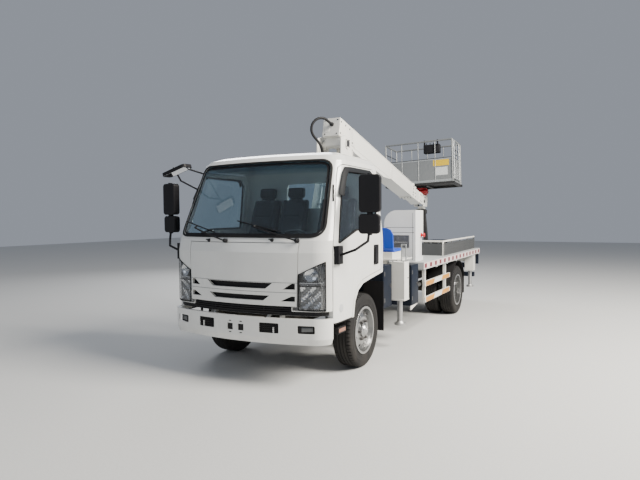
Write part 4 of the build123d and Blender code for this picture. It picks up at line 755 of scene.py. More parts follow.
def addHoseGlands():
    first, second = (Vector(p) for p in hoseRun["points"][:2])
    back = (first - second).normalized()
    bm = bmesh.new()
    # the upper gland's black is painted shade: the dark hole where the hose enters the tail plate
    nut, sleeve, tip = hoseRun["upperGland"]
    newRod(bm, first + back * 0.029, first - back * 0.002, nut, 6)
    newRod(bm, first - back * 0.001, first - back * 0.026, sleeve, 24, tip)
    bevelAll(bm, 0.0012, 1)
    finishPiece("hoseGlandUpperHoleShade", bm, "blackPlastic", "boom_base")
    bm = bmesh.new()
    end, up = Vector(hoseRun["points"][-1]), Vector((0, 0, 1))
    nut, sleeve, tip = hoseRun["lowerGland"]
    newRod(bm, end + up * 0.001, end + up * 0.022, nut, 6)
    newRod(bm, end + up * 0.021, end + up * 0.050, sleeve, 24, tip)
    bevelAll(bm, 0.0012, 1)
    finishPiece("hoseGlandLower", bm, "bareSteel", "column")


addHose()


# the cab's front surface, so that trim can lie on it

cabShape = {
    "bow": 3.0,
    # height, front, half width, corner radius
    "rows": [
        (0.600, -1.090, 0.985, 0.240),
        (1.330, -1.088, 0.990, 0.240),
        (1.450, -1.062, 0.988, 0.240),
        (2.270, -0.665, 0.905, 0.205),
        (2.330, -0.595, 0.860, 0.180),
        (2.366, -0.470, 0.760, 0.140),
    ],
}
bumperShape = {
    "bow": 3.0,
    "rows": [
        (0.431, -1.105, 0.965, 0.200),
        (0.491, -1.130, 0.985, 0.220),
        (0.690, -1.130, 0.988, 0.220),
    ],
}


def frontOf(shape, x, z):
    # where the bowed front lies at a place across and up
    rows = shape["rows"]
    low, high = rows[0], rows[-1]
    for a, b in zip(rows, rows[1:]):
        if a[0] <= z <= b[0]:
            low, high = a, b
            break
    share = 0 if high[0] == low[0] else min(max((z - low[0]) / (high[0] - low[0]), 0), 1)
    if z < rows[0][0]:
        low = high = rows[0]
    front, half, corner = (low[i] + (high[i] - low[i]) * share for i in (1, 2, 3))
    bow = shape["bow"]
    turnX = half - corner
    turnY = front + bow - math.sqrt((bow - corner) ** 2 - turnX ** 2)
    if abs(x) <= turnX * bow / (bow - corner):
        return front + bow - math.sqrt(bow ** 2 - x ** 2)
    reach = min(abs(x) - turnX, corner)
    return turnY - math.sqrt(max(corner ** 2 - reach ** 2, 0))


def layOnFront(bm, lift):
    # moves a flat sheet along Y onto the cab's front, lifted off it
    step = 0.004
    for v in bm.verts:
        x, z = v.co.x, v.co.z
        across = frontOf(cabShape, x + step, z) - frontOf(cabShape, x - step, z)
        upward = frontOf(cabShape, x, z + step) - frontOf(cabShape, x, z - step)
        out = Vector((across / (2 * step), -1, upward / (2 * step))).normalized()
        v.co.y = frontOf(cabShape, x, z)
        v.co += out * lift


def roundedLoop(corners, radius, spacing=0.05):
    # points (x, z) round a closed outline with rounded corners and short straight steps
    loop = []
    count = len(corners)
    for i in range(count):
        before, here, after = (Vector(corners[(i + k) % count]) for k in (-1, 0, 1))
        toBefore, toAfter = (before - here).normalized(), (after - here).normalized()
        half = toBefore.angle(toAfter) / 2
        back = radius / math.tan(half)
        first, last = here + toBefore * back, here + toAfter * back
        for k in range(9):
            t = k / 8
            loop.append(first * (1 - t) ** 2 + here * 2 * t * (1 - t) + last * t ** 2)
    dense = []
    for a, b in zip(loop, loop[1:] + loop[:1]):
        steps = max(1, math.ceil((b - a).length / spacing))
        dense += [a + (b - a) * (k / steps) for k in range(steps)]
    return dense


def bandOnFront(name, corners, radius, width, lift, thickness, finish):
    # a frame of even width along the inside of an outline, laid on the front
    bm = bmesh.new()
    ring = [bm.verts.new((p.x, 0, p.y)) for p in roundedLoop(corners, radius)]
    cutFrame(bm, bm.faces.new(ring), width)
    layOnFront(bm, lift)
    faceSheet(bm, (0, -1, 0))
    bmesh.ops.solidify(bm, geom=bm.faces[:], thickness=thickness)
    finishPiece(name, bm, finish, "cab")


# windscreen surround, wipers and washer jets

windscreen = {
    "outline": [(-0.910, 1.474), (0.910, 1.474), (0.832, 2.274), (-0.832, 2.274)],
    "inner": [(-0.888, 1.494), (0.888, 1.494), (0.812, 2.254), (-0.812, 2.254)],
    "corner": 0.13,
    # width, lift off the front and thickness
    "seal": (0.020, 0.003, -0.006),
    "band": (0.026, -0.0065, -0.001),
}

bandOnFront("windscreenSeal", windscreen["outline"], windscreen["corner"], *windscreen["seal"],
            "rubber")
bandOnFront("windscreenBand", windscreen["inner"], windscreen["corner"] - 0.02,
            *windscreen["band"], "blackPlastic")

wipers = {
    # pivot, elbow, tip of the arm, and the blade's two ends, as (across, up)
    "nearSide": [(-0.153, 1.441), (-0.470, 1.512), (-0.640, 1.560), (-0.855, 1.640),
                 (-0.340, 1.527)],
    "driverSide": [(0.657, 1.449), (0.360, 1.520), (0.170, 1.572), (-0.060, 1.640),
                   (0.460, 1.530)],
    "jets": [(-0.391, 1.443), (0.392, 1.452)],
    "armRadius": 0.008,
    "bladeSteps": 14,
    # lift, radius and sides of the rubber and of its holder
    "blade": [(0.004, 0.004, 6), (0.016, 0.0065, 8)],
}


def onFront(x, z, lift):
    # a place lifted off the cab's front, square to it where the windscreen leans
    off = Vector((0, -lift * 0.92, lift * 0.38 if z > 1.45 else 0))
    return Vector((x, frontOf(cabShape, x, z), z)) + off


def newStub(bm, base, start, end, radius, segments, endRadius=None):
    # a rod between two places given from a base
    newRod(bm, base + Vector(start), base + Vector(end), radius, segments, endRadius)


def addWipers():
    bm = bmesh.new()
    for name in ("nearSide", "driverSide"):
        pivot, elbow, tip, bladeA, bladeB = wipers[name]
        base = onFront(*pivot, 0.0)
        newStub(bm, base, (0, 0.004, 0), (0, -0.030, 0.004), 0.022, 20)
        newStub(bm, base, (0, -0.028, 0.004), (0, -0.040, 0.006), 0.020, 20, 0.012)
        arm = [onFront(*pivot, 0.030), onFront(*elbow, 0.046), onFront(*tip, 0.036)]
        newPipe(bm, arm, wipers["armRadius"], 10)
        bladeA, bladeB = Vector(bladeA), Vector(bladeB)
        count = wipers["bladeSteps"]
        for k in range(count):
            a, b = bladeA.lerp(bladeB, k / count), bladeA.lerp(bladeB, (k + 1) / count)
            for lift, radius, sides in wipers["blade"]:
                newRod(bm, onFront(*a, lift), onFront(*b, lift), radius, sides)
        saddle = bladeA.lerp(bladeB, 0.45)
        newRod(bm, onFront(*tip, 0.036), onFront(*saddle, 0.018), 0.009, 8)
    for x, z in wipers["jets"]:
        base = onFront(x, z, 0.0)
        newStub(bm, base, (0, 0.003, 0), (0, -0.020, 0.004), 0.019, 16, 0.012)
        newStub(bm, base, (0.018, -0.006, 0.006), (-0.030, -0.016, 0.010), 0.006, 8)
    finishPiece("windscreenWipers", bm, "blackPlastic", "cab")


addWipers()
print("windscreen trim made")


# front lid creases, drawn as thin grey strips of painted shade

lidCreaseShade = {
    "creases": [(1.036, 0.665), (0.940, 0.655)],  # height and half width
    "tall": 0.004,
    "stands": 0.0006,
}


def addLidCreaseShade():
    # a thin grey strip along each crease of the white lid: painted shade where the crease folds in
    bm = bmesh.new()
    for z, half in lidCreaseShade["creases"]:
        made = bmesh.ops.create_grid(bm, x_segments=48, y_segments=1, size=0.5)["verts"]
        bmesh.ops.transform(bm, verts=made, matrix=Matrix.Rotation(math.radians(90), 4, "X"))
        bmesh.ops.scale(bm, verts=made, vec=(half * 2, 1, lidCreaseShade["tall"]))
        bmesh.ops.translate(bm, verts=made, vec=(0, 0, z))
    for v in bm.verts:
        v.co.y = frontOf(cabShape, v.co.x, v.co.z) - lidCreaseShade["stands"]
    bmesh.ops.solidify(bm, geom=bm.faces[:], thickness=lidCreaseShade["stands"] * 2)
    finishPiece("lidCreaseShadeStrips", bm, "greyPlastic", "front_lid", slot="white_paint")


addLidCreaseShade()


# headlamps: a clear cover, a dark housing, an upper bowl and a cut reflector

lamps = {
    # across, up, radius of the upper bowl
    "bowl": (0.792, 1.112, 0.078),
    # the lower reflector's reach across and up, its cells and its depth
    "reflector": (0.684, 0.874, 0.786, 0.996, 9, 10, 0.045),
    "facetRise": 0.0045,
    # low and high of the bar between them, its two ends and its number of steps
    "divider": (1.004, 1.040, 0.676, 0.922, 18),
    "outline": [(0.673, 0.768), (0.673, 1.121), (0.925, 1.246), (0.925, 0.768)],
    "rim": (0.010, 0.0075, 0.0022, -0.004),  # corner radius, width, lift and thickness
    "ribs": (0.886, 0.898, 0.914),
}


def addLampBowls():
    bm = bmesh.new()
    x, z, radius = lamps["bowl"]
    y = frontOf(cabShape, x, z)
    turn = turned((x, y + 0.012, z), 16, "Z")
    made = bmesh.ops.create_uvsphere(bm, u_segments=40, v_segments=24, radius=radius)["verts"]
    bmesh.ops.scale(bm, verts=made, vec=(1, 0.55, 1))
    bmesh.ops.transform(bm, verts=made, matrix=turn)
    outer = [v for v in made if v.co.y < frontOf(cabShape, v.co.x, v.co.z) + 0.010]
    bmesh.ops.delete(bm, geom=outer, context="VERTS")
    bmesh.ops.recalc_face_normals(bm, faces=bm.faces)
    bmesh.ops.reverse_faces(bm, faces=bm.faces)
    newRod(bm, (x, y + 0.054, z), (x, y + 0.026, z), 0.020, 20, 0.012)
    newBall(bm, (x, y + 0.024, z), 0.013, 12)
    mirrorAcross(bm)
    finishPiece("headlampBowls", bm, "lampBowl", "cab", recalc=False)


def addReflectors():
    # a dished sheet of small cut facets
    bm = bmesh.new()
    x0, x1, z0, z1, across, up, depth = lamps["reflector"]
    made = bmesh.ops.create_grid(bm, x_segments=across, y_segments=up, size=0.5)["verts"]
    for v in made:
        r = math.hypot(v.co.x * 2, v.co.y * 2) / 1.42
        odd = (round((v.co.x + 0.5) * across) + round((v.co.y + 0.5) * up)) % 2
        x, z = x0 + (v.co.x + 0.5) * (x1 - x0), z0 + (v.co.y + 0.5) * (z1 - z0)
        dish = 0.010 + depth * (1 - r * r) + lamps["facetRise"] * odd
        v.co = (x, frontOf(cabShape, x, z) + dish, z)
    bmesh.ops.triangulate(bm, faces=bm.faces)
    faceSheet(bm, (0, -1, 0))
    bmesh.ops.solidify(bm, geom=bm.faces[:], thickness=0.0015)
    x, z = (x0 + x1) / 2, (z0 + z1) / 2
    y = frontOf(cabShape, x, z)
    newRod(bm, (x, y + 0.052, z), (x, y + 0.022, z), 0.017, 20, 0.014)
    newBall(bm, (x, y + 0.020, z), 0.015, 16)
    mirrorAcross(bm)
    piece = finishPiece("headlampReflectors", bm, "lampBowl", "cab", smooth=0)
    # a scatter of facets takes the dark housing finish: painted dark reflections among the bright
    # chrome ones
    piece.data.materials.append(materials["lampHousing"])
    for face in piece.data.polygons:
        face.material_index = 1 if (face.index * 7 + face.index // 5) % 9 < 4 else 0


def liesOnFront(face):
    middle = face.calc_center_median()
    return face.normal.y < -0.25 and middle.y < frontOf(cabShape, middle.x, middle.z) + 0.004


def addHeadlamps():
    source = bmesh.new()
    source.from_mesh(nodes["headlamps"].data)
    bmesh.ops.remove_doubles(source, verts=source.verts, dist=0.00002)
    bmesh.ops.translate(source, verts=source.verts, vec=-axleShift)
    lens = source.copy()
    back = [f for f in lens.faces if not liesOnFront(f)]
    bmesh.ops.delete(lens, geom=back, context="FACES")
    bmesh.ops.solidify(lens, geom=lens.faces[:], thickness=0.003)
    finishPiece("headlampLens", lens, "clearLens", "cab", standsFor=("headlamps",))
    front = [f for f in source.faces if liesOnFront(f)]
    bmesh.ops.delete(source, geom=front, context="FACES")
    bmesh.ops.reverse_faces(source, faces=source.faces)
    finishPiece("headlampHousing", source, "lampHousing", "cab", recalc=False)
    addLampBowls()
    addReflectors()
    trim = {"darkSteel": bmesh.new(), "lampBowl": bmesh.new(), "blackPlastic": bmesh.new()}
    low, high, inner, outer, count = lamps["divider"]
    ends = spread(inner, outer, count + 1)
    for x0, x1 in zip(ends, ends[1:]):
        y = max(frontOf(cabShape, x0, low), frontOf(cabShape, x1, low)) + 0.006
        newBox(trim["darkSteel"], x0, x1, y, y + 0.014, low + 0.006, high - 0.008)
        newBox(trim["lampBowl"], x0, x1, y - 0.001, y + 0.014, high - 0.008, high)
        newBox(trim["blackPlastic"], x0, x1, y - 0.001, y + 0.014, low - 0.004, low + 0.006)
        x, z = (x0 + x1) / 2, (low + high) / 2
        newRod(trim["lampBowl"], (x, y - 0.001, z), (x, y + 0.002, z), 0.0035, 8)
    for x in lamps["ribs"]:
        y = frontOf(cabShape, x, 0.9) + 0.008
        newBox(trim["lampBowl"], x - 0.0025, x + 0.0025, y, y + 0.016, 0.780, 1.200)
    for finish, bm in trim.items():
        mirrorAcross(bm)
        finishPiece("headlampTrim_" + finish, bm, finish, "cab", slot="hard_chrome")
    for side, name in ((1, "headlampRimLeft"), (-1, "headlampRimRight")):
        line = [(side * x, z) for x, z in lamps["outline"]][::side]
        bandOnFront(name, line, *lamps["rim"], "rubber")


addHeadlamps()
print("headlamps made")


# bumper: fog lamps, dark openings and tow covers

bumperTrim = {
    # across, up, half width and half height
    "fog": (0.765, 0.587, 0.078, 0.032),
    "fogTurn": 26,
    "fogLens": 0.72,  # share of its body
    "vent": (0.385, 0.590, 0.105, 0.050),
    # count and spacing
    "slats": (5, 0.02),
    "bars": (9, 0.0232),
    "towCover": (-0.12, 0.12, -1.118, -1.112, 0.500, 0.650),
}


def addBumperTrim():
    bm = bmesh.new()
    x, z, half, rise = bumperTrim["fog"]
    y = frontOf(bumperShape, x, z)
    turn = turned((x, y + 0.030, z), bumperTrim["fogTurn"], "Z")
    made = newBox(bm, -half - 0.012, half + 0.012, -0.004, 0.05, -rise - 0.012, rise + 0.012)
    bmesh.ops.transform(bm, verts=made, matrix=turn)
    mirrorAcross(bm)
    bevelAll(bm, 0.003)
    finishPiece("fogLampBodies", bm, "blackPlastic", "chassis")
    bm = bmesh.new()
    half, rise = half * bumperTrim["fogLens"], rise * bumperTrim["fogLens"]
    made = newBox(bm, -half, half, -0.012, 0.004, -rise, rise)
    bmesh.ops.transform(bm, verts=made, matrix=turn)
    mirrorAcross(bm)
    bevelAll(bm, 0.004, 3)
    finishPiece("fogLampLenses", bm, "lampHousing", "chassis", slot="hard_chrome")
    bm = bmesh.new()
    x, z, half, rise = bumperTrim["vent"]
    y = frontOf(bumperShape, x, z)
    made = newBox(bm, -half - 0.004, half + 0.004, 0.014, 0.020, -rise - 0.004, rise + 0.004)
    count, pitch = bumperTrim["slats"]
    for k in range(count):
        level = -rise + pitch * (k + 0.5)
        made += newBox(bm, -half, half, 0.004, 0.016, level - 0.003, level + 0.003)
    count, pitch = bumperTrim["bars"]
    for k in range(count):
        at = -half + pitch * k + 0.012
        made += newBox(bm, at - 0.002, at + 0.002, 0.006, 0.016, -rise, rise)
    bow = math.degrees(math.atan(x / bumperShape["bow"]))
    bmesh.ops.transform(bm, verts=made, matrix=turned((x, y, z), bow, "Z"))
    mirrorAcross(bm)
    newBox(bm, *bumperTrim["towCover"])
    finishPiece("bumperGrilles", bm, "blackPlastic", "chassis")


addBumperTrim()
print("bumper trim made")


# tyres and wheels

wheelbase = 3.815
tyres = {
    "steps": 240,
    # across, out: from the bead over the sidewall to the middle rib
    "profile": [
        (0.0835, 0.2505), (0.0925, 0.2655), (0.1040, 0.2750), (0.1085, 0.2880),
        (0.1105, 0.2930), (0.1100, 0.2990), (0.1085, 0.3020), (0.1115, 0.3200),
        (0.1148, 0.3400), (0.1155, 0.3440), (0.1155, 0.3500), (0.1140, 0.3530),
        (0.1130, 0.3720), (0.1095, 0.3860), (0.1060, 0.3900), (0.1010, 0.3980),
        (0.0940, 0.4045), (0.0840, 0.4088), (0.0610, 0.4106), (0.0590, 0.4010),
        (0.0525, 0.4010), (0.0505, 0.4114), (0.0240, 0.4127), (0.0222, 0.4020),
        (0.0162, 0.4020), (0.0144, 0.4129),
    ],
    # the open slots of the shoulders: out from this radius, between these two places across
    "slotFrom": 0.396,
    "slotReach": (0.0605, 0.1040),
    "slotEvery": 4,
    "slotDepth": 0.009,
    # piece, node, body, then the middle of each tyre across, and the axle along
    "places": [
        ("tyreFrontleft", "tyre_front_left", "wheel_front_left", [0.838], 0),
        ("tyreFrontright", "tyre_front_right", "wheel_front_right", [-0.838], 0),
        ("tyrePairleft", "tyres_rear_left", "wheels_rear_left", [0.963, 0.693], wheelbase),
        ("tyrePairright", "tyres_rear_right", "wheels_rear_right", [-0.963, -0.693], wheelbase),
    ],
    "axleHeight": 0.413,
}


def tyreMesh():
    bm = bmesh.new()
    half = tyres["profile"]
    ring = [(-x, r) for x, r in half] + [(x, r) for x, r in reversed(half)]
    verts = [bm.verts.new((x, 0, r)) for x, r in ring]
    edges = [bm.edges.new(pair) for pair in zip(verts, verts[1:] + verts[:1])]
    bmesh.ops.spin(bm, geom=verts + edges, cent=(0, 0, 0), axis=(1, 0, 0), angle=math.tau,
                   steps=tyres["steps"], use_merge=True, use_duplicate=False)
    bmesh.ops.remove_doubles(bm, verts=bm.verts, dist=0.00002)
    bmesh.ops.recalc_face_normals(bm, faces=bm.faces)
    # open slots across both shoulders, staggered left to right
    inner, outer = tyres["slotReach"]
    groups = {}
    for face in bm.faces:
        at = face.calc_center_median()
        out = math.hypot(at.y, at.z)
        if out > tyres["slotFrom"] and inner < abs(at.x) < outer:
            turn = round((math.atan2(at.z, at.y) % math.tau) / math.tau * tyres["steps"] - 0.5)
            shift = 0 if at.x > 0 else tyres["slotEvery"] // 2
            if (turn + shift) % tyres["slotEvery"] == 0:
                groups.setdefault((turn, at.x > 0), []).append(face)
    for faces in groups.values():
        bmesh.ops.inset_region(bm, faces=faces, thickness=0.0012, depth=-tyres["slotDepth"],
                               use_even_offset=True, use_boundary=True)
    return bm


def addTyres():
    master = tyreMesh()
    for name, node, body, middles, y in tyres["places"]:
        bm = bmesh.new()
        for x in middles:
            # each turned differently, so that the treads don't line up
            turn = Matrix.Rotation(0.013 + abs(x), 3, "X")
            copy = master.copy()
            bmesh.ops.rotate(copy, verts=copy.verts, cent=(0, 0, 0), matrix=turn)
            bmesh.ops.translate(copy, verts=copy.verts, vec=(x, y, tyres["axleHeight"]))
            addMesh(bm, copy)
        finishPiece(name, bm, "tyreRubber", body, standsFor=(node,))
    master.free()


wheelTrim = {
    "nutRing": 0.104,
    "nutCount": 6,
    # start and end along the stud, radius and sides of the washer, the nut and the stud
    "nut": [(-0.022, -0.017, 0.022, 20), (-0.018, 0.003, 0.0165, 6), (0, 0.010, 0.0085, 12)],
    "capRadius": 0.050,
    # body, across of the wheel's middle, nut tip's reach, hub cap's reach, along
    "places": [
        ("wheel_front_left", 0.838, 0.104, 0.122, 0),
        ("wheel_front_right", -0.838, 0.104, 0.122, 0),
        ("wheels_rear_left", 0.828, 0.037, 0.178, wheelbase),
        ("wheels_rear_right", -0.828, 0.037, 0.178, wheelbase),
    ],
}


def addWheelTrim():
    z, cap = tyres["axleHeight"], wheelTrim["capRadius"]
    for body, x, nutReach, capReach, y in wheelTrim["places"]:
        side = 1 if x > 0 else -1
        bm = bmesh.new()
        tip = x + side * nutReach
        for ny, nz in ringOf(wheelTrim["nutCount"], wheelTrim["nutRing"]):
            for start, end, radius, sides in wheelTrim["nut"]:
                newRod(bm, (tip + side * start, y + ny, z + nz),
                       (tip + side * end, y + ny, z + nz), radius, sides)
        bevelAll(bm, 0.0008, 1)
        finishPiece("nuts_" + body, bm, "darkSteel", body)
        bm = bmesh.new()
        end = x + side * capReach
        newRod(bm, (end - side * 0.004, y, z), (end + side * 0.004, y, z), cap, 40, cap - 0.004)
        for by, bz in ringOf(8, cap - 0.012):
            newRod(bm, (end + side * 0.003, y + by, z + bz),
                   (end + side * 0.008, y + by, z + bz), 0.005, 6)
        newRod(bm, (end + side * 0.003, y, z), (end + side * 0.010, y, z), 0.022, 24, 0.018)
        bevelAll(bm, 0.0008, 1)
        finishPiece("hubCap_" + body, bm, "bareSteel", body)


addHoseGlands()
addTyres()
addWheelTrim()
print("tyres and wheel trim made")


# doors: seals, deflectors, handles, mirror glass

def sideOf(z):
    # half width of the cab at a height
    rows = cabShape["rows"]
    for a, b in zip(rows, rows[1:]):
        if a[0] <= z <= b[0]:
            return a[2] + (b[2] - a[2]) * (z - a[0]) / (b[0] - a[0])
    return rows[0][2] if z < rows[0][0] else rows[-1][2]


def finishDoorPair(name, bm, finish, smooth=32):
    # the left door's piece, and its mirror image on the right
    other = bm.copy()
    bmesh.ops.scale(other, vec=(-1, 1, 1), verts=other.verts)
    bmesh.ops.reverse_faces(other, faces=other.faces)
    finishPiece(name + "Left", bm, finish, "door_left", smooth=smooth)
    finishPiece(name + "Right", other, finish, "door_right", smooth=smooth)


doorTrim = {
    "glassLine": [(-0.772, 1.404), (-0.285, 1.530), (0.325, 1.536), (0.325, 2.090), (0.255, 2.165),
                  (-0.450, 2.165), (-0.515, 2.100)],
    "sealWidth": 0.020,
    "visorLine": [(-0.640, 1.905), (-0.600, 1.980), (-0.515, 2.130), (-0.450, 2.198),
                  (-0.300, 2.208), (0.240, 2.208), (0.300, 2.180), (0.345, 2.110)],
    "visorMiddle": (-0.10, 1.75),
    "visorWidth": 0.062,
    # share of the width, and how far the visor stands off there
    "visorRows": [(0.0, 0.002), (0.12, 0.010), (0.45, 0.024), (1.0, 0.030)],
    "handle": (0.160, 0.290, 1.135, 1.360),
    "badge": (-0.695, 0.767, 0.043),
    "footLip": (0.948, 0.987, -0.842, -0.440, 0.622, 0.636),
}


def addDoorTrim():
    # rubber round the glass
    bm = bmesh.new()
    ring = [bm.verts.new((0, p.x, p.y)) for p in roundedLoop(doorTrim["glassLine"], 0.030, 0.08)]
    cutFrame(bm, bm.faces.new(ring), doorTrim["sealWidth"])
    for v in bm.verts:
        v.co.x = sideOf(v.co.z) + 0.0022
    faceSheet(bm, (1, 0, 0))
    bmesh.ops.solidify(bm, geom=bm.faces[:], thickness=0.008)
    finishDoorPair("doorSeal", bm, "rubber")
    # smoked wind deflector over the window's top
    bm = bmesh.new()
    middle = Vector(doorTrim["visorMiddle"])
    rows = []
    for share, stand in doorTrim["visorRows"]:
        row = []
        for place in doorTrim["visorLine"]:
            p = Vector(place)
            p += (middle - p).normalized() * doorTrim["visorWidth"] * share
            row.append(bm.verts.new((sideOf(p.y) + stand, p.x, p.y)))
        rows.append(row)
    for pair in zip(rows, rows[1:]):
        ends = [p for row in pair for p in zip(row, row[1:])]
        bmesh.ops.bridge_loops(bm, edges=[bm.edges.get(p) or bm.edges.new(p) for p in ends])
    faceSheet(bm, (1, 0, 0))
    bmesh.ops.solidify(bm, geom=bm.faces[:], thickness=0.0025)
    finishDoorPair("doorVisor", bm, "smokedVisor", smooth=50)
    # upright pull handle in its cup
    y0, y1, z0, z1 = doorTrim["handle"]
    x = sideOf((z0 + z1) / 2)
    bm = bmesh.new()
    newBox(bm, x - 0.006, x + 0.006, y0, y1, z0, z1)
    bevelAll(bm, 0.018, 4, 60)
    pressIn(bm, (1, 0, 0), 0.012, 0.004, -0.009)
    newBox(bm, x + 0.004, x + 0.018, y0 + 0.030, y0 + 0.072, z0 + 0.022, z1 - 0.022)
    # lock barrel with its key slot
    y, z = y1 - 0.036, z0 + 0.045
    newRod(bm, (x, y, z), (x + 0.007, y, z), 0.014, 24)
    newBox(bm, x + 0.006, x + 0.009, y - 0.002, y + 0.002, z - 0.008, z + 0.008)
    bevelAll(bm, 0.002, 2, 60)
    finishDoorPair("doorHandle", bm, "blackPlastic")
    # bare round badge low on the door
    y, z, radius = doorTrim["badge"]
    x = sideOf(z)
    bm = bmesh.new()
    newRod(bm, (x - 0.001, y, z), (x + 0.0015, y, z), radius, 40)
    pressIn(bm, (1, 0, 0), 0.009, 0.001, 0.001)
    finishDoorPair("doorBadge", bm, "plateBlank")
    # rubber lip along the door's foot
    bm = bmesh.new()
    newBox(bm, *doorTrim["footLip"])
    bevelAll(bm, 0.003)
    finishDoorPair("doorFootLip", bm, "rubber")


mirrorTrim = {
    # middle of the head, half width, half height, depth to its back
    "heads": [((1.278, -0.640, 1.905), 0.107, 0.185, 0.045),
              ((1.272, -0.640, 1.608), 0.105, 0.098, 0.042)],
    "turn": 12,
    "corner": 0.036,
    "rim": 0.011,
    # heights of the discs between the heads and of the arm's clamps
    "discs": (1.712, 1.716),
    "clamps": (1.506, 2.093),
}


def addMirrorTrim():
    glass = bmesh.new()
    joints = bmesh.new()
    for place, half, high, depth in mirrorTrim["heads"]:
        sheet = bmesh.new()
        corners = [(-half, -high), (half, -high), (half, high), (-half, high)]
        loop = roundedLoop(corners, mirrorTrim["corner"])
        face = sheet.faces.new([sheet.verts.new((p.x, 0, p.y)) for p in loop])
        sheet.normal_update()
        bmesh.ops.inset_region(sheet, faces=[face], thickness=mirrorTrim["rim"],
                               use_boundary=True)
        rim = [f for f in sheet.faces if f is not face]
        bmesh.ops.delete(sheet, geom=rim, context="FACES")
        if face.normal.y < 0:
            bmesh.ops.reverse_faces(sheet, faces=sheet.faces)
        made = bmesh.ops.extrude_face_region(sheet, geom=[face])["geom"]
        bmesh.ops.translate(sheet, verts=sheet.verts, vec=(0, depth - 0.0005, 0))
        bmesh.ops.translate(sheet, verts=onlyVerts(made), vec=(0, 0.002, 0))
        bmesh.ops.recalc_face_normals(sheet, faces=sheet.faces)
        bmesh.ops.transform(sheet, verts=sheet.verts,
                            matrix=turned(place, mirrorTrim["turn"], "Z"))
        addMesh(glass, sheet)
    finishDoorPair("mirrorGlass", glass, "mirrorGlass")
    x, y = mirrorTrim["heads"][0][0][:2]
    for z in mirrorTrim["discs"]:
        newRod(joints, (x, y - 0.010, z - 0.006), (x, y - 0.010, z + 0.006), 0.030, 24)
    for z in mirrorTrim["clamps"]:
        newRod(joints, (x, y - 0.012, z - 0.008), (x, y - 0.012, z + 0.006), 0.024, 24)
    bevelAll(joints, 0.002)
    finishDoorPair("mirrorClamps", joints, "blackPlastic")


addDoorTrim()
addMirrorTrim()
print("door and mirror trim made")


# steps under the doors

stepTrim = {
    "tread": (0.803, 0.953, -0.693, -0.517, 0.497, 0.563),
    "grips": 7,
    "hangerTop": 0.862,
}


def addSteps():
    x0, x1, y0, y1, z0, z1 = stepTrim["tread"]
    bm = bmesh.new()
    newBox(bm, x0, x1, y0, y1, z0, z1)
    bevelAll(bm, 0.008, 3)
    for y in spread(y0 + 0.02, y1 - 0.02, stepTrim["grips"]):
        newBox(bm, x0 + 0.012, x1 - 0.012, y - 0.004, y + 0.004, z1 - 0.002, z1 + 0.003)
    for y in (y0 + 0.003, y1 - 0.033):
        newBox(bm, x0, x0 + 0.012, y, y + 0.030, z1 - 0.002, stepTrim["hangerTop"])
    mirrorAcross(bm)
    finishPiece("doorSteps", bm, "blackPlastic", "cab")
    # a coppery strip along each step's outer side: a painted reflection
    bm = bmesh.new()
    newBox(bm, x1 - 0.001, x1 + 0.0015, y0 + 0.012, y1 - 0.012, z0 + 0.016, z1 - 0.014)
    bevelAll(bm, 0.001, 1)
    mirrorAcross(bm)
    finishPiece("stepSidePaintedReflection", bm, "copperLens", "cab")


addSteps()


# operator's console: seams, side slot, stop button and hand levers

console = {
    "front": 1.832,
    "side": 0.950,
    # across and up: two level seams and an upright one
    "seams": [(0.500, 0.930, 1.5205, 1.5255), (0.500, 0.930, 1.4495, 1.4545),
              (0.905, 0.909, 1.060, 1.730)],
    "slot": (2.044, 2.050, 1.105, 1.372),
    "panel": (0.604, 0.860, 1.235, 1.415),
    "levers": (0.642, 0.822, 6),
    "dials": (0.680, 0.780),
    "button": (0.950, 2.087, 1.410),
    # start, end, radius and end radius of its collar, stem and head
    "buttonParts": [(-0.002, 0.014, 0.030, 0.028), (0.012, 0.040, 0.017, 0.017),
                    (0.036, 0.056, 0.032, 0.026)],
}


def addConsole():
    face = console["front"]
    bm = bmesh.new()
    for x0, x1, z0, z1 in console["seams"]:
        newBox(bm, x0, x1, face - 0.0012, face + 0.002, z0, z1)
    y0, y1, z0, z1 = console["slot"]
    newBox(bm, console["side"] - 0.024, console["side"] + 0.001, y0, y1, z0, z1)
    finishPiece("consoleSeams", bm, "blackPlastic", "chassis")
    bm = bmesh.new()
    x0, x1, z0, z1 = console["panel"]
    newBox(bm, x0, x1, face - 0.010, face + 0.002, z0, z1)
    bevelAll(bm, 0.006, 3)
    pressIn(bm, (0, -1, 0), 0.012, 0.002, -0.004)
    for x in spread(*console["levers"]):
        foot = Vector((x, face, 1.300))
        newStub(bm, foot, (0, -0.008, 0), (0, -0.060, 0.012), 0.004, 10)
        newBall(bm, foot + Vector((0, -0.066, 0.014)), 0.011, 14)
        newStub(bm, foot, (0, -0.005, 0), (0, -0.016, 0.002), 0.012, 14, 0.007)
    for x in console["dials"]:
        newRod(bm, (x, face - 0.006, 1.375), (x, face - 0.013, 1.375), 0.020, 28)
    finishPiece("consoleLevers", bm, "greyPlastic", "chassis")
    x, y, z = console["button"]
    bm = bmesh.new()
    for start, end, radius, endRadius in console["buttonParts"]:
        sides = 24 if radius == endRadius else 32
        newRod(bm, (x + start, y, z), (x + end, y, z), radius, sides, endRadius)
    bevelAll(bm, 0.003, 2)
    finishPiece("stopButton", bm, "stopRed", "chassis")


addConsole()
print("steps and console made")


# deck tape, side guard bands and the tray's rails

deckTrim = {
    "side": 1.100,
    "start": 1.740,
    "end": 5.535,
    "bandLow": 0.948,
    "bandHigh": 1.032,
    # first and last red square along the side, then along the rear, with their numbers
    "squares": (1.825, 5.419, 15),
    "rearSquares": (-0.96, 0.96, 9),
    "squareSize": (0.105, 0.062),
    "rear": 5.540,
    "rearHalf": 1.085,
    "guardSide": 1.080,
    "guardRails": [(0.690, 0.762), (0.464, 0.536)],
    # along the guard: the ends of its amber, white and amber bands
    "guardCuts": [1.905, 2.330, 2.760, 3.215],
    "slant": 0.035,
    "guardPosts": (1.960, 3.080),
}


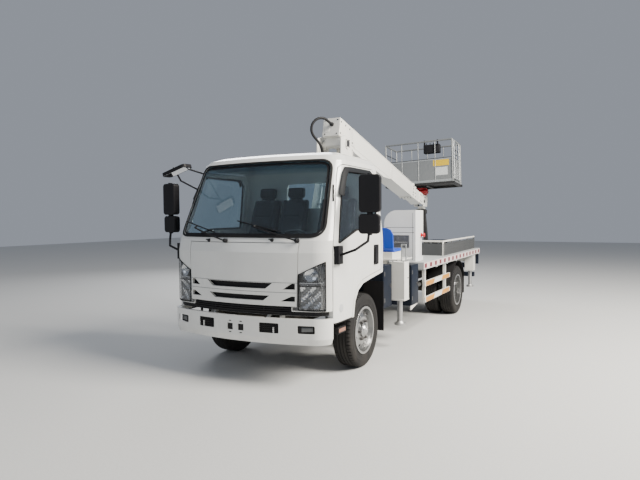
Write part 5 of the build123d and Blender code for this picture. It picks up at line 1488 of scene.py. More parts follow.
def addDeckTape():
    pale = bmesh.new()
    red = bmesh.new()
    x, low, high = deckTrim["side"], deckTrim["bandLow"], deckTrim["bandHigh"]
    newBox(pale, x - 0.001, x + 0.0008, deckTrim["start"], deckTrim["end"], low, high)
    long, tall = deckTrim["squareSize"]
    middle = (low + high) / 2
    foot, head = middle - tall / 2, middle + tall / 2
    for y in spread(*deckTrim["squares"]):
        newBox(red, x, x + 0.0014, y - long / 2, y + long / 2, foot, head)
    mirrorAcross(pale)
    mirrorAcross(red)
    half, end = deckTrim["rearHalf"], deckTrim["rear"]
    newBox(pale, -half, half, end - 0.001, end + 0.0008, low, high)
    for x in spread(*deckTrim["rearSquares"]):
        newBox(red, x - long / 2, x + long / 2, end, end + 0.0014, foot, head)
    finishPiece("deckTapePale", pale, "tapePale", "chassis")
    finishPiece("deckTapeRed", red, "tapeRed", "chassis")


def addGuardBands():
    x = deckTrim["guardSide"]
    cuts = deckTrim["guardCuts"]
    slant = deckTrim["slant"]
    leans = (0, slant, slant, 0)  # the bands' two outer ends are square
    for finish, wanted in (("tapeAmber", (0, 2)), ("tapeWhite", (1,))):
        bm = bmesh.new()
        for low, high in deckTrim["guardRails"]:
            low, high = low + 0.004, high - 0.004
            for k in wanted:
                start, end, lean0, lean1 = *cuts[k:k + 2], *leans[k:k + 2]
                corners = [(start - lean0, low), (end - lean1, low),
                           (end + lean1, high), (start + lean0, high)]
                newPlate(bm, corners, x + 0.0012, x - 0.0018)
        bmesh.ops.recalc_face_normals(bm, faces=bm.faces)
        mirrorAcross(bm)
        finishPiece("guardBands" + finish[4:], bm, finish, "chassis")
    # two bolts where each rail meets a post
    bm = bmesh.new()
    for low, high in deckTrim["guardRails"]:
        for y in deckTrim["guardPosts"]:
            for off in (0.018, -0.018):
                z = (low + high) / 2 + off
                newRod(bm, (x - 0.001, y, z), (x + 0.005, y, z), 0.009, 6)
    mirrorAcross(bm)
    finishPiece("guardBolts", bm, "bareSteel", "chassis")


tray = {
    "half": 0.996,
    "front": 3.124,
    "rear": 5.466,
    "top": 1.271,
    "railRadius": 0.0155,
    "panelTop": 1.239,
    "ribs": 46,
    "wall": 1.0098,
    "latches": (0.795, 0.925),
    "block": (0.735, 0.990, 3.500, 3.620, 1.0405, 1.180),
}


def addTray():
    # white rails over the tray's grey walls, darkened with painted shade, with pressed ribs on the
    # walls
    bm = bmesh.new()
    h, front, rear, top, r = (tray[k] for k in ("half", "front", "rear", "top", "railRadius"))
    newPipe(bm, [(-h, rear, top), (-h, front, top), (h, front, top), (h, rear, top)], r, 16)
    for x in (-h, h):
        newBall(bm, (x, rear, top), r, 16)
        newRod(bm, (x, front, 1.040), (x, front, top), r, 16)
    finishPiece("trayRails", bm, "boomPaint", "chassis")
    bm = bmesh.new()
    x, top = tray["wall"], tray["panelTop"]
    for y in spread(front + 0.03, rear - 0.03, tray["ribs"]):
        newBox(bm, x, x + 0.0027, y - 0.004, y + 0.004, 1.062, top - 0.012)
    for z in (1.056, 1.150, top - 0.006):
        newBox(bm, x, x + 0.0032, front + 0.01, rear - 0.01, z - 0.005, z + 0.005)
    mirrorAcross(bm)
    finishPiece("trayRibs", bm, "trayGrey", "chassis")
    # tool box latches and lid strap
    bm = bmesh.new()
    for x in tray["latches"]:
        newBox(bm, x - 0.016, x + 0.016, 3.136, 3.145, 1.205, 1.270)
        newBox(bm, x - 0.010, x + 0.010, 3.130, 3.138, 1.222, 1.250)
    newBox(bm, 0.760, 0.782, 3.141, 3.146, 1.252, 1.262)
    bevelAll(bm, 0.0015, 2)
    finishPiece("toolBoxLatches", bm, "galvanised", "chassis")
    # white locker block at the tray's front corner
    bm = bmesh.new()
    newBox(bm, *tray["block"])
    bevelAll(bm, 0.006, 3)
    finishPiece("trayBlock", bm, "boomPaint", "chassis")


addDeckTape()
addGuardBands()
addTray()
print("deck trim made")


# boom: doubler plates, bolts, pipes and caps, drawn along the boom and then leaned

boomLine = {"pivot": (0, 1.200, 2.680), "pitch": -13}


def finishOnBoom(name, bm, finish, body):
    turn = turned(boomLine["pivot"], boomLine["pitch"], "X")
    bmesh.ops.transform(bm, verts=bm.verts, matrix=turn)
    finishPiece(name, bm, finish, body)


boomTrim = {
    "half": 0.1225,
    # along the boom, square to it: the doubler behind the pivot
    "doubler": [(-0.153, 0.074), (0.390, 0.074), (0.300, 0.180), (0.270, 0.310), (-0.153, 0.310)],
    "doublerThick": 0.005,
    # corners and thickness of the lower and upper corner strips and the joint plate
    "strips": [
        ([(0.36, 0.067), (3.060, 0.067), (3.060, 0.079), (0.36, 0.079)], 0.004),
        ([(0.28, 0.308), (3.060, 0.308), (3.060, 0.3205), (0.27, 0.3205)], 0.004),
        ([(1.880, 0.074), (1.960, 0.074), (1.960, 0.310), (1.880, 0.310)], 0.0035),
    ],
    "doublerBolts": [(-0.12, 0.11), (-0.12, 0.27), (0.02, 0.11), (0.16, 0.11), (0.28, 0.11),
                     (0.02, 0.27), (0.16, 0.27)],
    "tailCover": (-0.095, -0.025, -0.1575, -0.154, 0.120, 0.260),
    "collar": 3.110,
    "collarBolts": (0.110, 0.160, 0.225, 0.275),
    "pipes": (0.150, 0.176),
    "pipeReach": (0.35, 3.02),
    "pipeRadius": 0.008,
    "pipeClamps": 7,
    # the inner sections are narrower by these
    "middleIn": 0.007,
    "headIn": 0.010,
    "headBolts": [(3.64, 0.13), (3.64, 0.25), (3.72, 0.13), (3.72, 0.25)],
    "headPin": (3.880, 0.180),
}


def addBoomTrim():
    half = boomTrim["half"]
    bm = bmesh.new()
    newPlate(bm, boomTrim["doubler"], half - 0.001, half + boomTrim["doublerThick"])
    for corners, thick in boomTrim["strips"]:
        newPlate(bm, corners, half - 0.001, half + thick)
    bmesh.ops.recalc_face_normals(bm, faces=bm.faces)
    bevelAll(bm, 0.0012, 2)
    mirrorAcross(bm)
    finishOnBoom("boomDoublers", bm, "boomPaint", "boom_base")
    bm = bmesh.new()
    for s, t in boomTrim["doublerBolts"]:
        newBolt(bm, (half + boomTrim["doublerThick"], s, t), (1, 0, 0))
    for t in boomTrim["collarBolts"]:
        newBolt(bm, (half + 0.009, boomTrim["collar"], t), (1, 0, 0), 0.010)
    mirrorAcross(bm)
    for x in (-0.09, -0.03, 0.03, 0.09):
        newBolt(bm, (x, boomTrim["collar"], 0.330), (0, 0, 1), 0.010)
        newBolt(bm, (x, boomTrim["collar"], 0.057), (0, 0, -1), 0.010)
    for x in (-0.09, 0.09):
        for t in (0.095, 0.292):
            newBolt(bm, (x, -0.155, t), (0, -1, 0), 0.008)
    finishOnBoom("boomBolts", bm, "darkSteel", "boom_base")
    # steel pipes along the far side, in clamps
    bm = bmesh.new()
    s0, s1 = boomTrim["pipeReach"]
    x = -half - 0.018
    for t in boomTrim["pipes"]:
        newRod(bm, (x, s0, t), (x, s1, t), boomTrim["pipeRadius"], 12)
        newRod(bm, (x, s0 - 0.012, t), (x, s0 + 0.030, t), 0.012, 6)
        newRod(bm, (x, s1 - 0.030, t), (x, s1 + 0.012, t), 0.012, 6)
    for s in spread(s0 + 0.08, s1 - 0.08, boomTrim["pipeClamps"]):
        newBox(bm, x - 0.012, x + 0.019, s - 0.015, s + 0.015, 0.134, 0.192)
    bevelAll(bm, 0.001, 1, 60)
    finishOnBoom("boomPipes", bm, "galvanised", "boom_base")
    # inspection cover on the tail plate
    bm = bmesh.new()
    newBox(bm, *boomTrim["tailCover"])
    bevelAll(bm, 0.0012, 1)
    finishOnBoom("boomTailCover", bm, "boomPaint", "boom_base")
    # bolts at the middle section's collar and at the head
    bm = bmesh.new()
    for t in (0.120, 0.190, 0.270):
        newBolt(bm, (half - boomTrim["middleIn"], 3.290, t), (1, 0, 0), 0.008)
    mirrorAcross(bm)
    finishOnBoom("middleBolts", bm, "darkSteel", "boom_middle")
    bm = bmesh.new()
    edge = half - boomTrim["headIn"]
    for s, t in boomTrim["headBolts"]:
        newBolt(bm, (edge, s, t), (1, 0, 0), 0.009)
    s, t = boomTrim["headPin"]
    newRod(bm, (edge + 0.004, s, t), (edge + 0.012, s, t), 0.034, 28)
    for off in (0.017, -0.017):
        newBolt(bm, (edge + 0.012, s + off, t), (1, 0, 0), 0.006)
    mirrorAcross(bm)
    finishOnBoom("headBolts", bm, "darkSteel", "boom_inner")


columnTrim = {
    "middle": (0, 0.970),
    "plateTop": 1.1243,
    "boltRing": 0.388,
    "boltCount": 28,
    "boltGap": (0.150, 0.205),  # the side plates stand here, so no bolt does
    "side": 0.198,
    "lowPin": (1.200, 1.320),
    "motor": (-0.275, 0.800),
    # low, high and radius of the motor's flange, gearbox, rim and body
    "motorParts": [(-0.001, 0.030, 0.066), (0.028, 0.150, 0.052), (0.148, 0.165, 0.060),
                   (0.163, 0.260, 0.040)],
    "pipes": (-0.060, 0.0, 0.060),
    # along and up
    "pipeRun": [(0.670, 1.128), (0.676, 1.180), (0.701, 1.418), (0.981, 2.250), (0.984, 2.400),
                (1.006, 2.440)],
    "pipeClamps": [(0.689, 1.300), (0.763, 1.600), (0.847, 1.850), (0.931, 2.100),
                   (0.983, 2.350)],
    "flanges": [
        [(1.362, 1.130), (1.362, 2.600), (1.352, 2.600), (1.352, 1.130)],
        [(0.655, 1.124), (0.720, 1.424), (0.728, 1.424), (0.668, 1.124)],
    ],
}


def addColumnTrim():
    cx, cy = columnTrim["middle"]
    top = columnTrim["plateTop"]
    bm = bmesh.new()
    near, far = columnTrim["boltGap"]
    for x, y in ringOf(columnTrim["boltCount"], columnTrim["boltRing"], 0.5):
        if not near < abs(cx + x) < far:
            newBolt(bm, (cx + x, cy + y, top), (0, 0, 1), 0.011, 0.011)
    y, z = boomLine["pivot"][1:]
    lowY, lowZ = columnTrim["lowPin"]
    for side in (-1, 1):
        x = side * columnTrim["side"]
        newRod(bm, (x - side * 0.002, y, z), (x + side * 0.008, y, z), 0.046, 36)
        for dy, dz in ringOf(4, 0.061, 0.5):
            newBolt(bm, (x, y + dy, z + dz), (side, 0, 0), 0.007)
        newRod(bm, (side * 0.073, lowY, lowZ), (side * 0.080, lowY, lowZ), 0.034, 24)
    finishPiece("columnBolts", bm, "darkSteel", "column")
    # slewing motor with its gearbox on the turntable
    x, y = columnTrim["motor"]
    bm = bmesh.new()
    for low, high, radius in columnTrim["motorParts"]:
        newRod(bm, (x, y, top + low), (x, y, top + high), radius, 36)
    newBox(bm, x - 0.030, x + 0.030, y - 0.052, y + 0.010, top + 0.205, top + 0.250)
    newBall(bm, (x, y, top + 0.258), 0.030, 20)
    bevelAll(bm, 0.002, 2)
    for dx, dy in ringOf(8, 0.055):
        newBolt(bm, (x + dx, y + dy, top + 0.165), (0, 0, 1), 0.005)
    finishPiece("slewMotor", bm, "engineIron", "column")
    # pipes up the column's front web
    bm = bmesh.new()
    for x in columnTrim["pipes"]:
        newPipe(bm, [(x, y, z) for y, z in columnTrim["pipeRun"]], 0.009, 12)
        newRod(bm, (x, 0.670, 1.124), (x, 0.672, 1.150), 0.015, 6)
    for y, z in columnTrim["pipeClamps"]:
        newBox(bm, -0.085, 0.085, y - 0.014, y + 0.018, z - 0.014, z + 0.014)
    bevelAll(bm, 0.001, 1, 60)
    finishPiece("columnPipes", bm, "galvanised", "column")
    # flanges on the side plates' front and rear edges
    bm = bmesh.new()
    for corners in columnTrim["flanges"]:
        newPlate(bm, corners, 0.168, 0.204)
    bmesh.ops.recalc_face_normals(bm, faces=bm.faces)
    bevelAll(bm, 0.002, 2)
    mirrorAcross(bm)
    finishPiece("columnFlanges", bm, "boomPaint", "column")


addBoomTrim()
addColumnTrim()
print("boom and column trim made")


# basket: blank plates, hems, gate and controls, drawn square and then leaned

basket = {
    "place": (0, 5.200, 2.310),
    "pitch": -4,
    "roll": -2.4,
    "low": (-0.660, -0.310),
    "high": (0.730, 0.370),
    "panelTop": 0.459,
    "rail": 0.016,
    "yellowPlate": (0.335, 0.648, 0.318, 0.440),
    "palePlate": (0.385, 0.620, 0.135, 0.292),
    # the gate from the near corner along, and its low and high
    "gate": (0.075, 0.475, 0.060, 0.800),
    "gateBars": (0.300, 0.550),
    "hinges": (0.160, 0.700),
    "controlBox": (0.140, 0.460, 0.034, 0.150, 0.590, 0.760),
    "knobs": (0.190, 0.406, 4),
    "tread": (20, 9),
}


def finishOnBasket(name, bm, finish, body="basket"):
    turn = turned(basket["place"], basket["pitch"], "X") @ turned((0, 0, 0), basket["roll"], "Y")
    bmesh.ops.transform(bm, verts=bm.verts, matrix=turn)
    finishPiece(name, bm, finish, body)


def addBasketTrim():
    x0, y0 = basket["low"]
    x1, y1 = basket["high"]
    r = basket["rail"]
    front = y0 + r - 0.003
    for name, finish in (("yellowPlate", "plateYellow"), ("palePlate", "plateBlank")):
        a, b, c, d = basket[name]
        bm = bmesh.new()
        newBox(bm, a, b, front - 0.0016, front + 0.0004, c, d)
        bevelAll(bm, 0.0006, 1)
        pressIn(bm, (0, -1, 0), 0.006, 0.0008, -0.0005)
        for x in (a + 0.012, b - 0.012):
            for z in (c + 0.012, d - 0.012):
                newRod(bm, (x, front, z), (x, front - 0.0028, z), 0.004, 10)
        finishOnBasket(name, bm, finish)
    # hems along the panels' tops, and kick strips
    bm = bmesh.new()
    top = basket["panelTop"]
    for y in (y0 + r - 0.007, y1 - r + 0.001):
        newBox(bm, x0 + r, x1 - r, y, y + 0.006, top - 0.022, top + 0.003)
    for x in (x0 + r - 0.007, x1 - r + 0.001):
        newBox(bm, x, x + 0.006, y0 + r, y1 - r, top - 0.022, top + 0.003)
    for y in (y0 + r - 0.006, y1 - r + 0.001):
        newBox(bm, x0 + r, x1 - r, y, y + 0.005, 0.008, 0.050)
    bevelAll(bm, 0.001, 1)
    finishOnBasket("basketHems", bm, "galvanised")
    # second rail inside, and a higher one on the ends
    bm = bmesh.new()
    for y in (y0 + r, y1 - r):
        newRod(bm, (x0 + r, y, top + 0.008), (x1 - r, y, top + 0.008), 0.010, 14)
    for x in (x0 + r, x1 - r):
        newRod(bm, (x, y0 + r, top + 0.008), (x, y1 - r, top + 0.008), 0.010, 14)
        newRod(bm, (x, y0 + r, 0.640), (x, y1 - r, 0.640), 0.009, 14)
    finishOnBasket("basketRails", bm, "darkSteel")
    # gate on the near end with its hinges and latch
    bm = bmesh.new()
    gx = x1 + 0.004
    a, b, low, high = basket["gate"]
    a, b = y0 + a, y0 + b
    frame = [(gx, a, low), (gx, b, low), (gx, b, high), (gx, a, high), (gx, a, low)]
    newPipe(bm, frame, 0.011, 14)
    newBall(bm, (gx, a, low), 0.0112, 14)
    for z in basket["gateBars"]:
        newRod(bm, (gx, a, z), (gx, b, z), 0.008, 12)
    for y in spread(a, b, 5)[1:-1]:
        newRod(bm, (gx, y, low), (gx, y, basket["gateBars"][0]), 0.006, 10)
    for z in basket["hinges"]:
        newRod(bm, (gx, a - 0.022, z - 0.030), (gx, a - 0.022, z + 0.030), 0.013, 14)
        newBox(bm, gx - 0.004, gx + 0.004, a - 0.024, a + 0.004, z - 0.018, z + 0.018)
        newBox(bm, x1 - 0.020, gx, a - 0.028, a - 0.014, z - 0.024, z + 0.024)
    newBox(bm, gx - 0.012, gx + 0.012, b + 0.006, b + 0.030, 0.560, 0.620)
    newBox(bm, x1 - 0.020, gx + 0.002, b + 0.012, b + 0.026, 0.566, 0.614)
    newRod(bm, (gx, b + 0.018, 0.590), (gx + 0.016, b + 0.018, 0.590), 0.009, 12)
    finishOnBasket("basketGate", bm, "galvanised")
    # control box hung inside the front rail
    bm = bmesh.new()
    xa, xb, ya, yb, za, zb = basket["controlBox"]
    newBox(bm, xa, xb, y0 + ya, y0 + yb, za, zb)
    bevelAll(bm, 0.010, 3)
    for x in (0.170, 0.430):
        newBox(bm, x - 0.012, x + 0.012, y0 + 0.006, y0 + 0.040, 0.745, 0.842)
    for x in spread(*basket["knobs"]):
        newRod(bm, (x, y0 + 0.092, 0.757), (x, y0 + 0.088, 0.782), 0.005, 10)
        newBall(bm, (x, y0 + 0.088, 0.788), 0.011, 14)
        newRod(bm, (x, y0 + 0.092, 0.756), (x, y0 + 0.092, 0.764), 0.013, 14, 0.007)
    finishOnBasket("basketControls", bm, "blackPlastic")
    # dark sheet under the floor, and tread strips on top
    bm = bmesh.new()
    newBox(bm, x0 + 0.006, x1 - 0.006, y0 + 0.006, y1 - 0.006, -0.0032, -0.0008)
    finishOnBasket("basketUnderside", bm, "chassisBlack")
    bm = bmesh.new()
    columns, rows = basket["tread"]
    for i, y in enumerate(spread(y0 + 0.06, y1 - 0.06, rows)):
        for k, x in enumerate(spread(x0 + 0.06, x1 - 0.06, columns)):
            turn = turned((x, y, 0.0068), 45 if (i + k) % 2 else -45, "Z")
            made = newBox(bm, -0.014, 0.014, -0.0035, 0.0035, -0.001, 0.0014)
            bmesh.ops.transform(bm, verts=made, matrix=turn)
    finishOnBasket("basketTread", bm, "galvanised")


drive = {
    "radius": 0.105,
    # low and high of the two ribs round it
    "ribs": [(-0.0823, -0.0643), (-0.192, -0.172)],
    # along, up, radius, and the places of its ribs across
    "motor": (-0.085, -0.1425, 0.048),
    "motorRibs": (-0.128, -0.048, 9),
    "motorCaps": (-0.152, 0.146),
    "pipes": (-0.045, 0.045),
    "pipeRun": [(5.112, 2.122), (5.090, 2.100), (5.078, 2.060), (5.082, 1.990), (5.140, 1.925),
                (5.170, 1.896)],
}


def addDriveTrim():
    bm = bmesh.new()
    y, z, r = drive["motor"]
    for x in spread(*drive["motorRibs"]):
        newRod(bm, (x - 0.0025, y, z), (x + 0.0025, y, z), r + 0.005, 36)
    for x in drive["motorCaps"]:
        newRod(bm, (x, y, z), (x + 0.010, y, z), r + 0.004, 36)
    for low, high in drive["ribs"]:
        newRod(bm, (0, 0, high), (0, 0, low), drive["radius"] + 0.006, 60)
    bevelAll(bm, 0.0012, 2)
    finishOnBasket("driveRibs", bm, "redPaint", "basket_carrier")
    bm = bmesh.new()
    for dy, dz in ringOf(6, 0.036):
        for x, way in ((-0.153, -1), (0.157, 1)):
            newBolt(bm, (x, y + dy, z + dz), (way, 0, 0), 0.0055)
    for x, y in ringOf(12, 0.1095):
        newBolt(bm, (x, y, -0.192), (x, y, 0), 0.006, 0.005)
    finishOnBasket("driveBolts", bm, "darkSteel", "basket_carrier")
    # rigid pipes from the motor down into the bracket
    bm = bmesh.new()
    for x in drive["pipes"]:
        newPipe(bm, [(x, y, z) for y, z in drive["pipeRun"]], 0.010, 12)
        newRod(bm, (x, 5.116, 2.128), (x, 5.102, 2.112), 0.016, 6)
        newRod(bm, (x, 5.168, 1.893), (x, 5.160, 1.912), 0.016, 6)
    finishPiece("drivePipes", bm, "blackPlastic", "basket_carrier")


addBasketTrim()
addDriveTrim()
print("basket and drive trim made")


# lockers, tank, hoops and the rear end

lockerTrim = {
    # outer face, start and end along, low and high
    "doors": [(0.940, 0.592, 0.868, 0.575, 1.060), (1.060, 1.302, 1.588, 0.515, 1.022)],
    "thick": 0.006,
    "foot": [(1.300, 0.501), (1.600, 0.501), (1.560, 0.486), (1.306, 0.440), (1.300, 0.446)],
}


def addLockers():
    doors = bmesh.new()
    metal = bmesh.new()
    for x, y0, y1, z0, z1 in lockerTrim["doors"]:
        out = x + lockerTrim["thick"]
        newBox(doors, x - 0.001, out, y0, y1, z0, z1)
        for z in (z0 + 0.08, z1 - 0.08):
            y = y0 + 0.010
            newRod(metal, (out, y, z - 0.030), (out, y, z + 0.030), 0.006, 12)
            newBox(metal, out - 0.001, out + 0.002, y - 0.002, y + 0.035, z - 0.024, z + 0.024)
        y, z = y1 - 0.045, (z0 + z1) / 2
        newRod(metal, (out - 0.001, y, z), (out + 0.004, y, z), 0.026, 28)
        newBox(metal, out + 0.003, out + 0.013, y - 0.005, y + 0.005, z - 0.022, z + 0.022)
    bevelAll(doors, 0.003, 3)
    bevelAll(metal, 0.001, 1)
    mirrorAcross(doors)
    mirrorAcross(metal)
    finishPiece("lockerDoors", doors, "navyPaint", "chassis")
    finishPiece("lockerLatches", metal, "darkSteel", "chassis")
    bm = bmesh.new()
    newPlate(bm, lockerTrim["foot"], 1.040, 1.056)
    bmesh.ops.recalc_face_normals(bm, faces=bm.faces)
    bevelAll(bm, 0.002, 2)
    mirrorAcross(bm)
    finishPiece("lockerFeet", bm, "boomPaint", "chassis")


# the front jacks' hoops and the boxes they stand on
hoops = {
    "near": 1.032,
    "far": 1.090,
    "along": 0.996,
    "low": 1.1085,
    "high": 1.323,
    "radius": 0.0082,
    "box": 1.009,
    # half width, low and high of the box's collar and cap
    "collars": [(0.092, 0.618, 0.640), (0.091, 1.096, 1.110)],
}


def addHoops():
    y, low, high = hoops["along"], hoops["low"], hoops["high"]
    for side, body in ((1, "outrigger_left"), (-1, "outrigger_right")):
        bm = bmesh.new()
        a, b = side * hoops["near"], side * hoops["far"]
        newPipe(bm, [(a, y, low), (a, y, high), (b, y, high), (b, y, low)], hoops["radius"], 16)
        for x in (a, b):
            newRod(bm, (x, y, low - 0.0005), (x, y, low + 0.006), 0.0125, 20)
        finishPiece("hoop_" + body, bm, "galvanised", body)
        # collar, cap, bolts and grease point of the jack box
        bm = bmesh.new()
        x = side * hoops["box"]
        for half, z0, z1 in hoops["collars"]:
            newBox(bm, x - half, x + half, y - half, y + half, z0, z1)
        bevelAll(bm, 0.003, 2)
        finishPiece("jackCollars_" + body, bm, "boomPaint", body)
        bm = bmesh.new()
        for dx in (-0.070, 0.070):
            for dy in (-0.070, 0.070):
                newBolt(bm, (x + dx, y + dy, 1.110), (0, 0, 1), 0.008)
        for start, end, radius, sides in ((0.0885, 0.096, 0.008, 6), (0.094, 0.101, 0.004, 10)):
            newRod(bm, (x + side * start, y + 0.045, 0.900), (x + side * end, y + 0.045, 0.900),
                   radius, sides)
        finishPiece("jackBolts_" + body, bm, "darkSteel", body)


rear = {
    "face": 5.5402,
    # name, finish, inner and outer edge of each lens
    "lenses": [
        ("redLens", "redLens", 0.860, 0.955),
        ("amberLens", "amberLens", 0.770, 0.857),
        ("clearWhite", "tapeWhite", 0.685, 0.767),
    ],
    "rim": (0.678, 0.962),
    "low": 0.652,
    "high": 0.728,
    "bar": 5.5602,
    "plate": (-0.220, 0.220, 0.476, 0.549),
    "barSquares": (0.40, 0.85, 4),
    "barBand": (0.480, 0.545),
    # the tank's straps along and round it, and its filler's place
    "straps": (2.240, 2.740),
    "strapSides": [(-0.965, -0.515, 0.845, 0.853), (-0.965, -0.958, 0.520, 0.853),
                   (-0.965, -0.515, 0.466, 0.474)],
    "filler": (-0.880, 2.480),
}


def addRear():
    face, bar, low, high = (rear[k] for k in ("face", "bar", "low", "high"))
    for name, finish, a, b in rear["lenses"]:
        bm = bmesh.new()
        newBox(bm, a, b, face - 0.001, face + 0.018, low, high)
        bevelAll(bm, 0.006, 3)
        for z in spread(low + 0.012, low + 0.064, 6):
            newBox(bm, a + 0.006, b - 0.006, face + 0.0172, face + 0.0192, z - 0.0012, z + 0.0012)
        mirrorAcross(bm)
        finishPiece("rearLens_" + name, bm, finish, "chassis", slot="lamp_clear")
    bm = bmesh.new()
    a, b = rear["rim"]
    newBox(bm, a, b, face - 0.001, face + 0.008, low - 0.008, high + 0.008)
    bevelAll(bm, 0.003, 2)
    mirrorAcross(bm)
    finishPiece("rearLampRims", bm, "blackPlastic", "chassis")
    bm = bmesh.new()
    x0, x1, z0, z1 = rear["plate"]
    newBox(bm, x0, x1, bar - 0.0005, bar + 0.002, z0, z1)
    bevelAll(bm, 0.001, 1)
    finishPiece("rearPlate", bm, "plateBlank", "chassis")
    bm = bmesh.new()
    z0, z1 = rear["barBand"]
    for x in spread(*rear["barSquares"]):
        newBox(bm, x - 0.036, x + 0.036, bar - 0.0005, bar + 0.001, z0, z1)
    mirrorAcross(bm)
    finishPiece("rearBarTape", bm, "tapeRed", "chassis")
    # straps, bolts and filler cap of the fuel tank
    bm = bmesh.new()
    for y in rear["straps"]:
        for x0, x1, z0, z1 in rear["strapSides"]:
            newBox(bm, x0, x1, y - 0.025, y + 0.025, z0, z1)
        newRod(bm, (-0.972, y, 0.700), (-0.958, y, 0.700), 0.010, 6)
    x, y = rear["filler"]
    newRod(bm, (x, y, 0.846), (x, y, 0.876), 0.048, 36)
    newRod(bm, (x, y, 0.874), (x, y, 0.900), 0.055, 12)
    bevelAll(bm, 0.002, 2)
    finishPiece("tankFittings", bm, "galvanised", "chassis")


pillar = {
    "strip": [(0.901, -0.690, 1.838), (0.888, -0.662, 1.919), (0.873, -0.631, 2.002)],
    # middle of the look-down mirror, its half length, half width and slope
    "lookDown": ((-0.775, -1.085, 2.188), 0.150, 0.062, -17),
}


def addPillarStrips():
    bm = bmesh.new()
    out = Vector((0.72, -0.68, 0.10)) * 0.004
    newPipe(bm, [Vector(p) + out for p in pillar["strip"]], 0.009, 14)
    mirrorAcross(bm)
    finishPiece("pillarStrips", bm, "blackPlastic", "cab")
    # glass of the look-down mirror
    bm = bmesh.new()
    place, half, wide, slope = pillar["lookDown"]
    newBox(bm, -half, half, -wide, wide, -0.0185, -0.0165)
    bmesh.ops.transform(bm, verts=bm.verts, matrix=turned(place, slope, "Y"))
    bevelAll(bm, 0.0008, 1)
    finishPiece("lookDownGlass", bm, "mirrorGlass", "cab")


addLockers()
addHoops()
addRear()
addPillarStrips()
print("lockers, hoops and rear end made")


# cab seats: one is swollen by air pressure and sewn, then fitted to the three places

cabSeats = {
    # middle across, half width
    "places": [(0.460, 0.250), (-0.140, 0.200), (-0.560, 0.210)],
    "half": 0.220,
    "cushion": [(-0.195, 1.200), (0.222, 1.200), (0.222, 1.288), (0.000, 1.292), (-0.170, 1.300),
                (-0.236, 1.276), (-0.240, 1.222)],
    "back": [(0.116, 1.318), (0.286, 1.318), (0.370, 1.700), (0.414, 1.894), (0.336, 1.910),
             (0.250, 1.700)],
    "rest": [(0.333, 1.943), (0.414, 1.926), (0.421, 2.058), (0.352, 2.068)],
    "restHalf": 0.117,
    "voxel": 0.018,
    "pressure": 4,
    "frames": 16,
    "cap": 0.012,
    # depth and half width of the sewn channels, and their places
    "channel": (0.006, 0.016),
    "cushionSeam": -0.020,
    "backSeams": (1.500, 1.690),
    "restLow": 1.925,
    "posts": 0.055,
}


def bakeModifiers(piece):
    graph = bpy.context.evaluated_depsgraph_get()
    graph.update()
    mesh = bpy.data.meshes.new_from_object(piece.evaluated_get(graph))
    old = piece.data
    piece.modifiers.clear()
    piece.data = mesh
    bpy.data.meshes.remove(old)


def puffUp(piece):
    # an even skin that air pressure swells, no point moving farther than the cap
    frames, cap = cabSeats["frames"], cabSeats["cap"]
    even = piece.modifiers.new("even", "REMESH")
    even.mode = "VOXEL"
    even.voxel_size = cabSeats["voxel"]
    bakeModifiers(piece)
    start = [v.co.copy() for v in piece.data.vertices]
    cloth = piece.modifiers.new("swell", "CLOTH")
    cloth.settings.quality = 3
    cloth.settings.use_pressure = True
    cloth.settings.uniform_pressure_force = cabSeats["pressure"]
    cloth.settings.effector_weights.gravity = 0
    cloth.point_cache.frame_end = frames
    for step in range(1, frames + 1):
        scene.frame_set(step)
    bakeModifiers(piece)
    scene.frame_set(1)
    for vert, origin in zip(piece.data.vertices, start):
        way = vert.co - origin
        if way.length > cap:
            vert.co = origin + way.normalized() * cap


def sewChannels(mesh):
    # valleys along the seams: two down the seat, one across the cushion and two across the back
    half, (depth, reach) = cabSeats["half"], cabSeats["channel"]
    for vert in mesh.vertices:
        x, y, z = vert.co
        if z > cabSeats["restLow"] + 0.005:
            continue
        gaps = [abs(abs(x) - half * 0.58)]
        if abs(x) < half * 0.60:
            if z < 1.315:
                gaps.append(abs(y - cabSeats["cushionSeam"]))
            else:
                gaps += [abs(z - seam) for seam in cabSeats["backSeams"]]
        pull = max(0, 1 - min(gaps) / reach) ** 2
        vert.co -= vert.normal * depth * pull


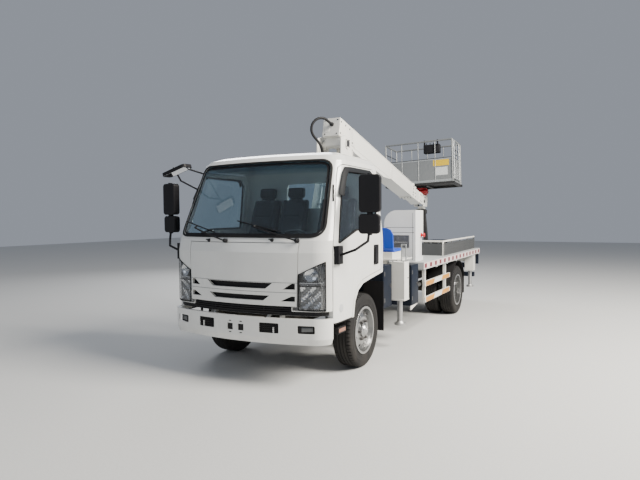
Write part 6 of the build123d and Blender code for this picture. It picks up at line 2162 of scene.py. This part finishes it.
def addCabSeats():
    half = cabSeats["half"]
    bm = bmesh.new()
    reaches = {"cushion": half - 0.005, "back": half - 0.014, "rest": cabSeats["restHalf"]}
    for name, reach in reaches.items():
        newPlate(bm, cabSeats[name], -reach, reach)
    bmesh.ops.recalc_face_normals(bm, faces=bm.faces)
    bevelAll(bm, 0.022, 3, 30)
    bmesh.ops.recalc_face_normals(bm, faces=bm.faces)
    mesh = bpy.data.meshes.new("seatPattern")
    bm.to_mesh(mesh)
    bm.free()
    pattern = bpy.data.objects.new("seatPattern", mesh)
    scene.collection.objects.link(pattern)
    puffUp(pattern)
    finer = pattern.modifiers.new("finer", "SUBSURF")
    finer.levels = finer.render_levels = 1
    bakeModifiers(pattern)
    sewChannels(pattern.data)
    bm = bmesh.new()
    for middle, reach in cabSeats["places"]:
        before = len(bm.verts)
        bm.from_mesh(pattern.data)
        bm.verts.ensure_lookup_table()
        made = bm.verts[before:]
        low = [v for v in made if v.co.z < cabSeats["restLow"]]
        bmesh.ops.scale(bm, vec=(reach / half, 1, 1), verts=low)
        bmesh.ops.translate(bm, vec=(middle, 0, 0), verts=made)
    bpy.data.objects.remove(pattern)
    pads = finishPiece("cabSeatPads", bm, "seatFabric", "cab", standsFor=("cab_seats",),
                       recalc=False, smooth=80)
    bm = bmesh.new()
    for middle, reach in cabSeats["places"]:
        for x in (middle - cabSeats["posts"], middle + cabSeats["posts"]):
            newRod(bm, (x, 0.372, 1.880), (x, 0.385, 1.962), 0.007, 16)
            newRod(bm, (x, 0.3735, 1.894), (x, 0.3750, 1.904), 0.012, 16)
    finishPiece("headRestPosts", bm, "bareSteel", "cab")
    bm = bmesh.new()
    for middle, reach in cabSeats["places"]:
        newBox(bm, middle - reach + 0.03, middle + reach - 0.03, -0.200, 0.200, 1.1905, 1.2085)
        for x in (middle - reach + 0.020, middle + reach - 0.020):
            newBox(bm, x - 0.010, x + 0.010, 0.170, 0.230, 1.200, 1.345)
        newRod(bm, (middle + reach - 0.005, 0.200, 1.330), (middle + reach + 0.012, 0.200, 1.330),
               0.024, 24)
    bevelAll(bm, 0.003, 2)
    finishPiece("seatFittings", bm, "blackPlastic", "cab")


addCabSeats()
print("cab seats made")
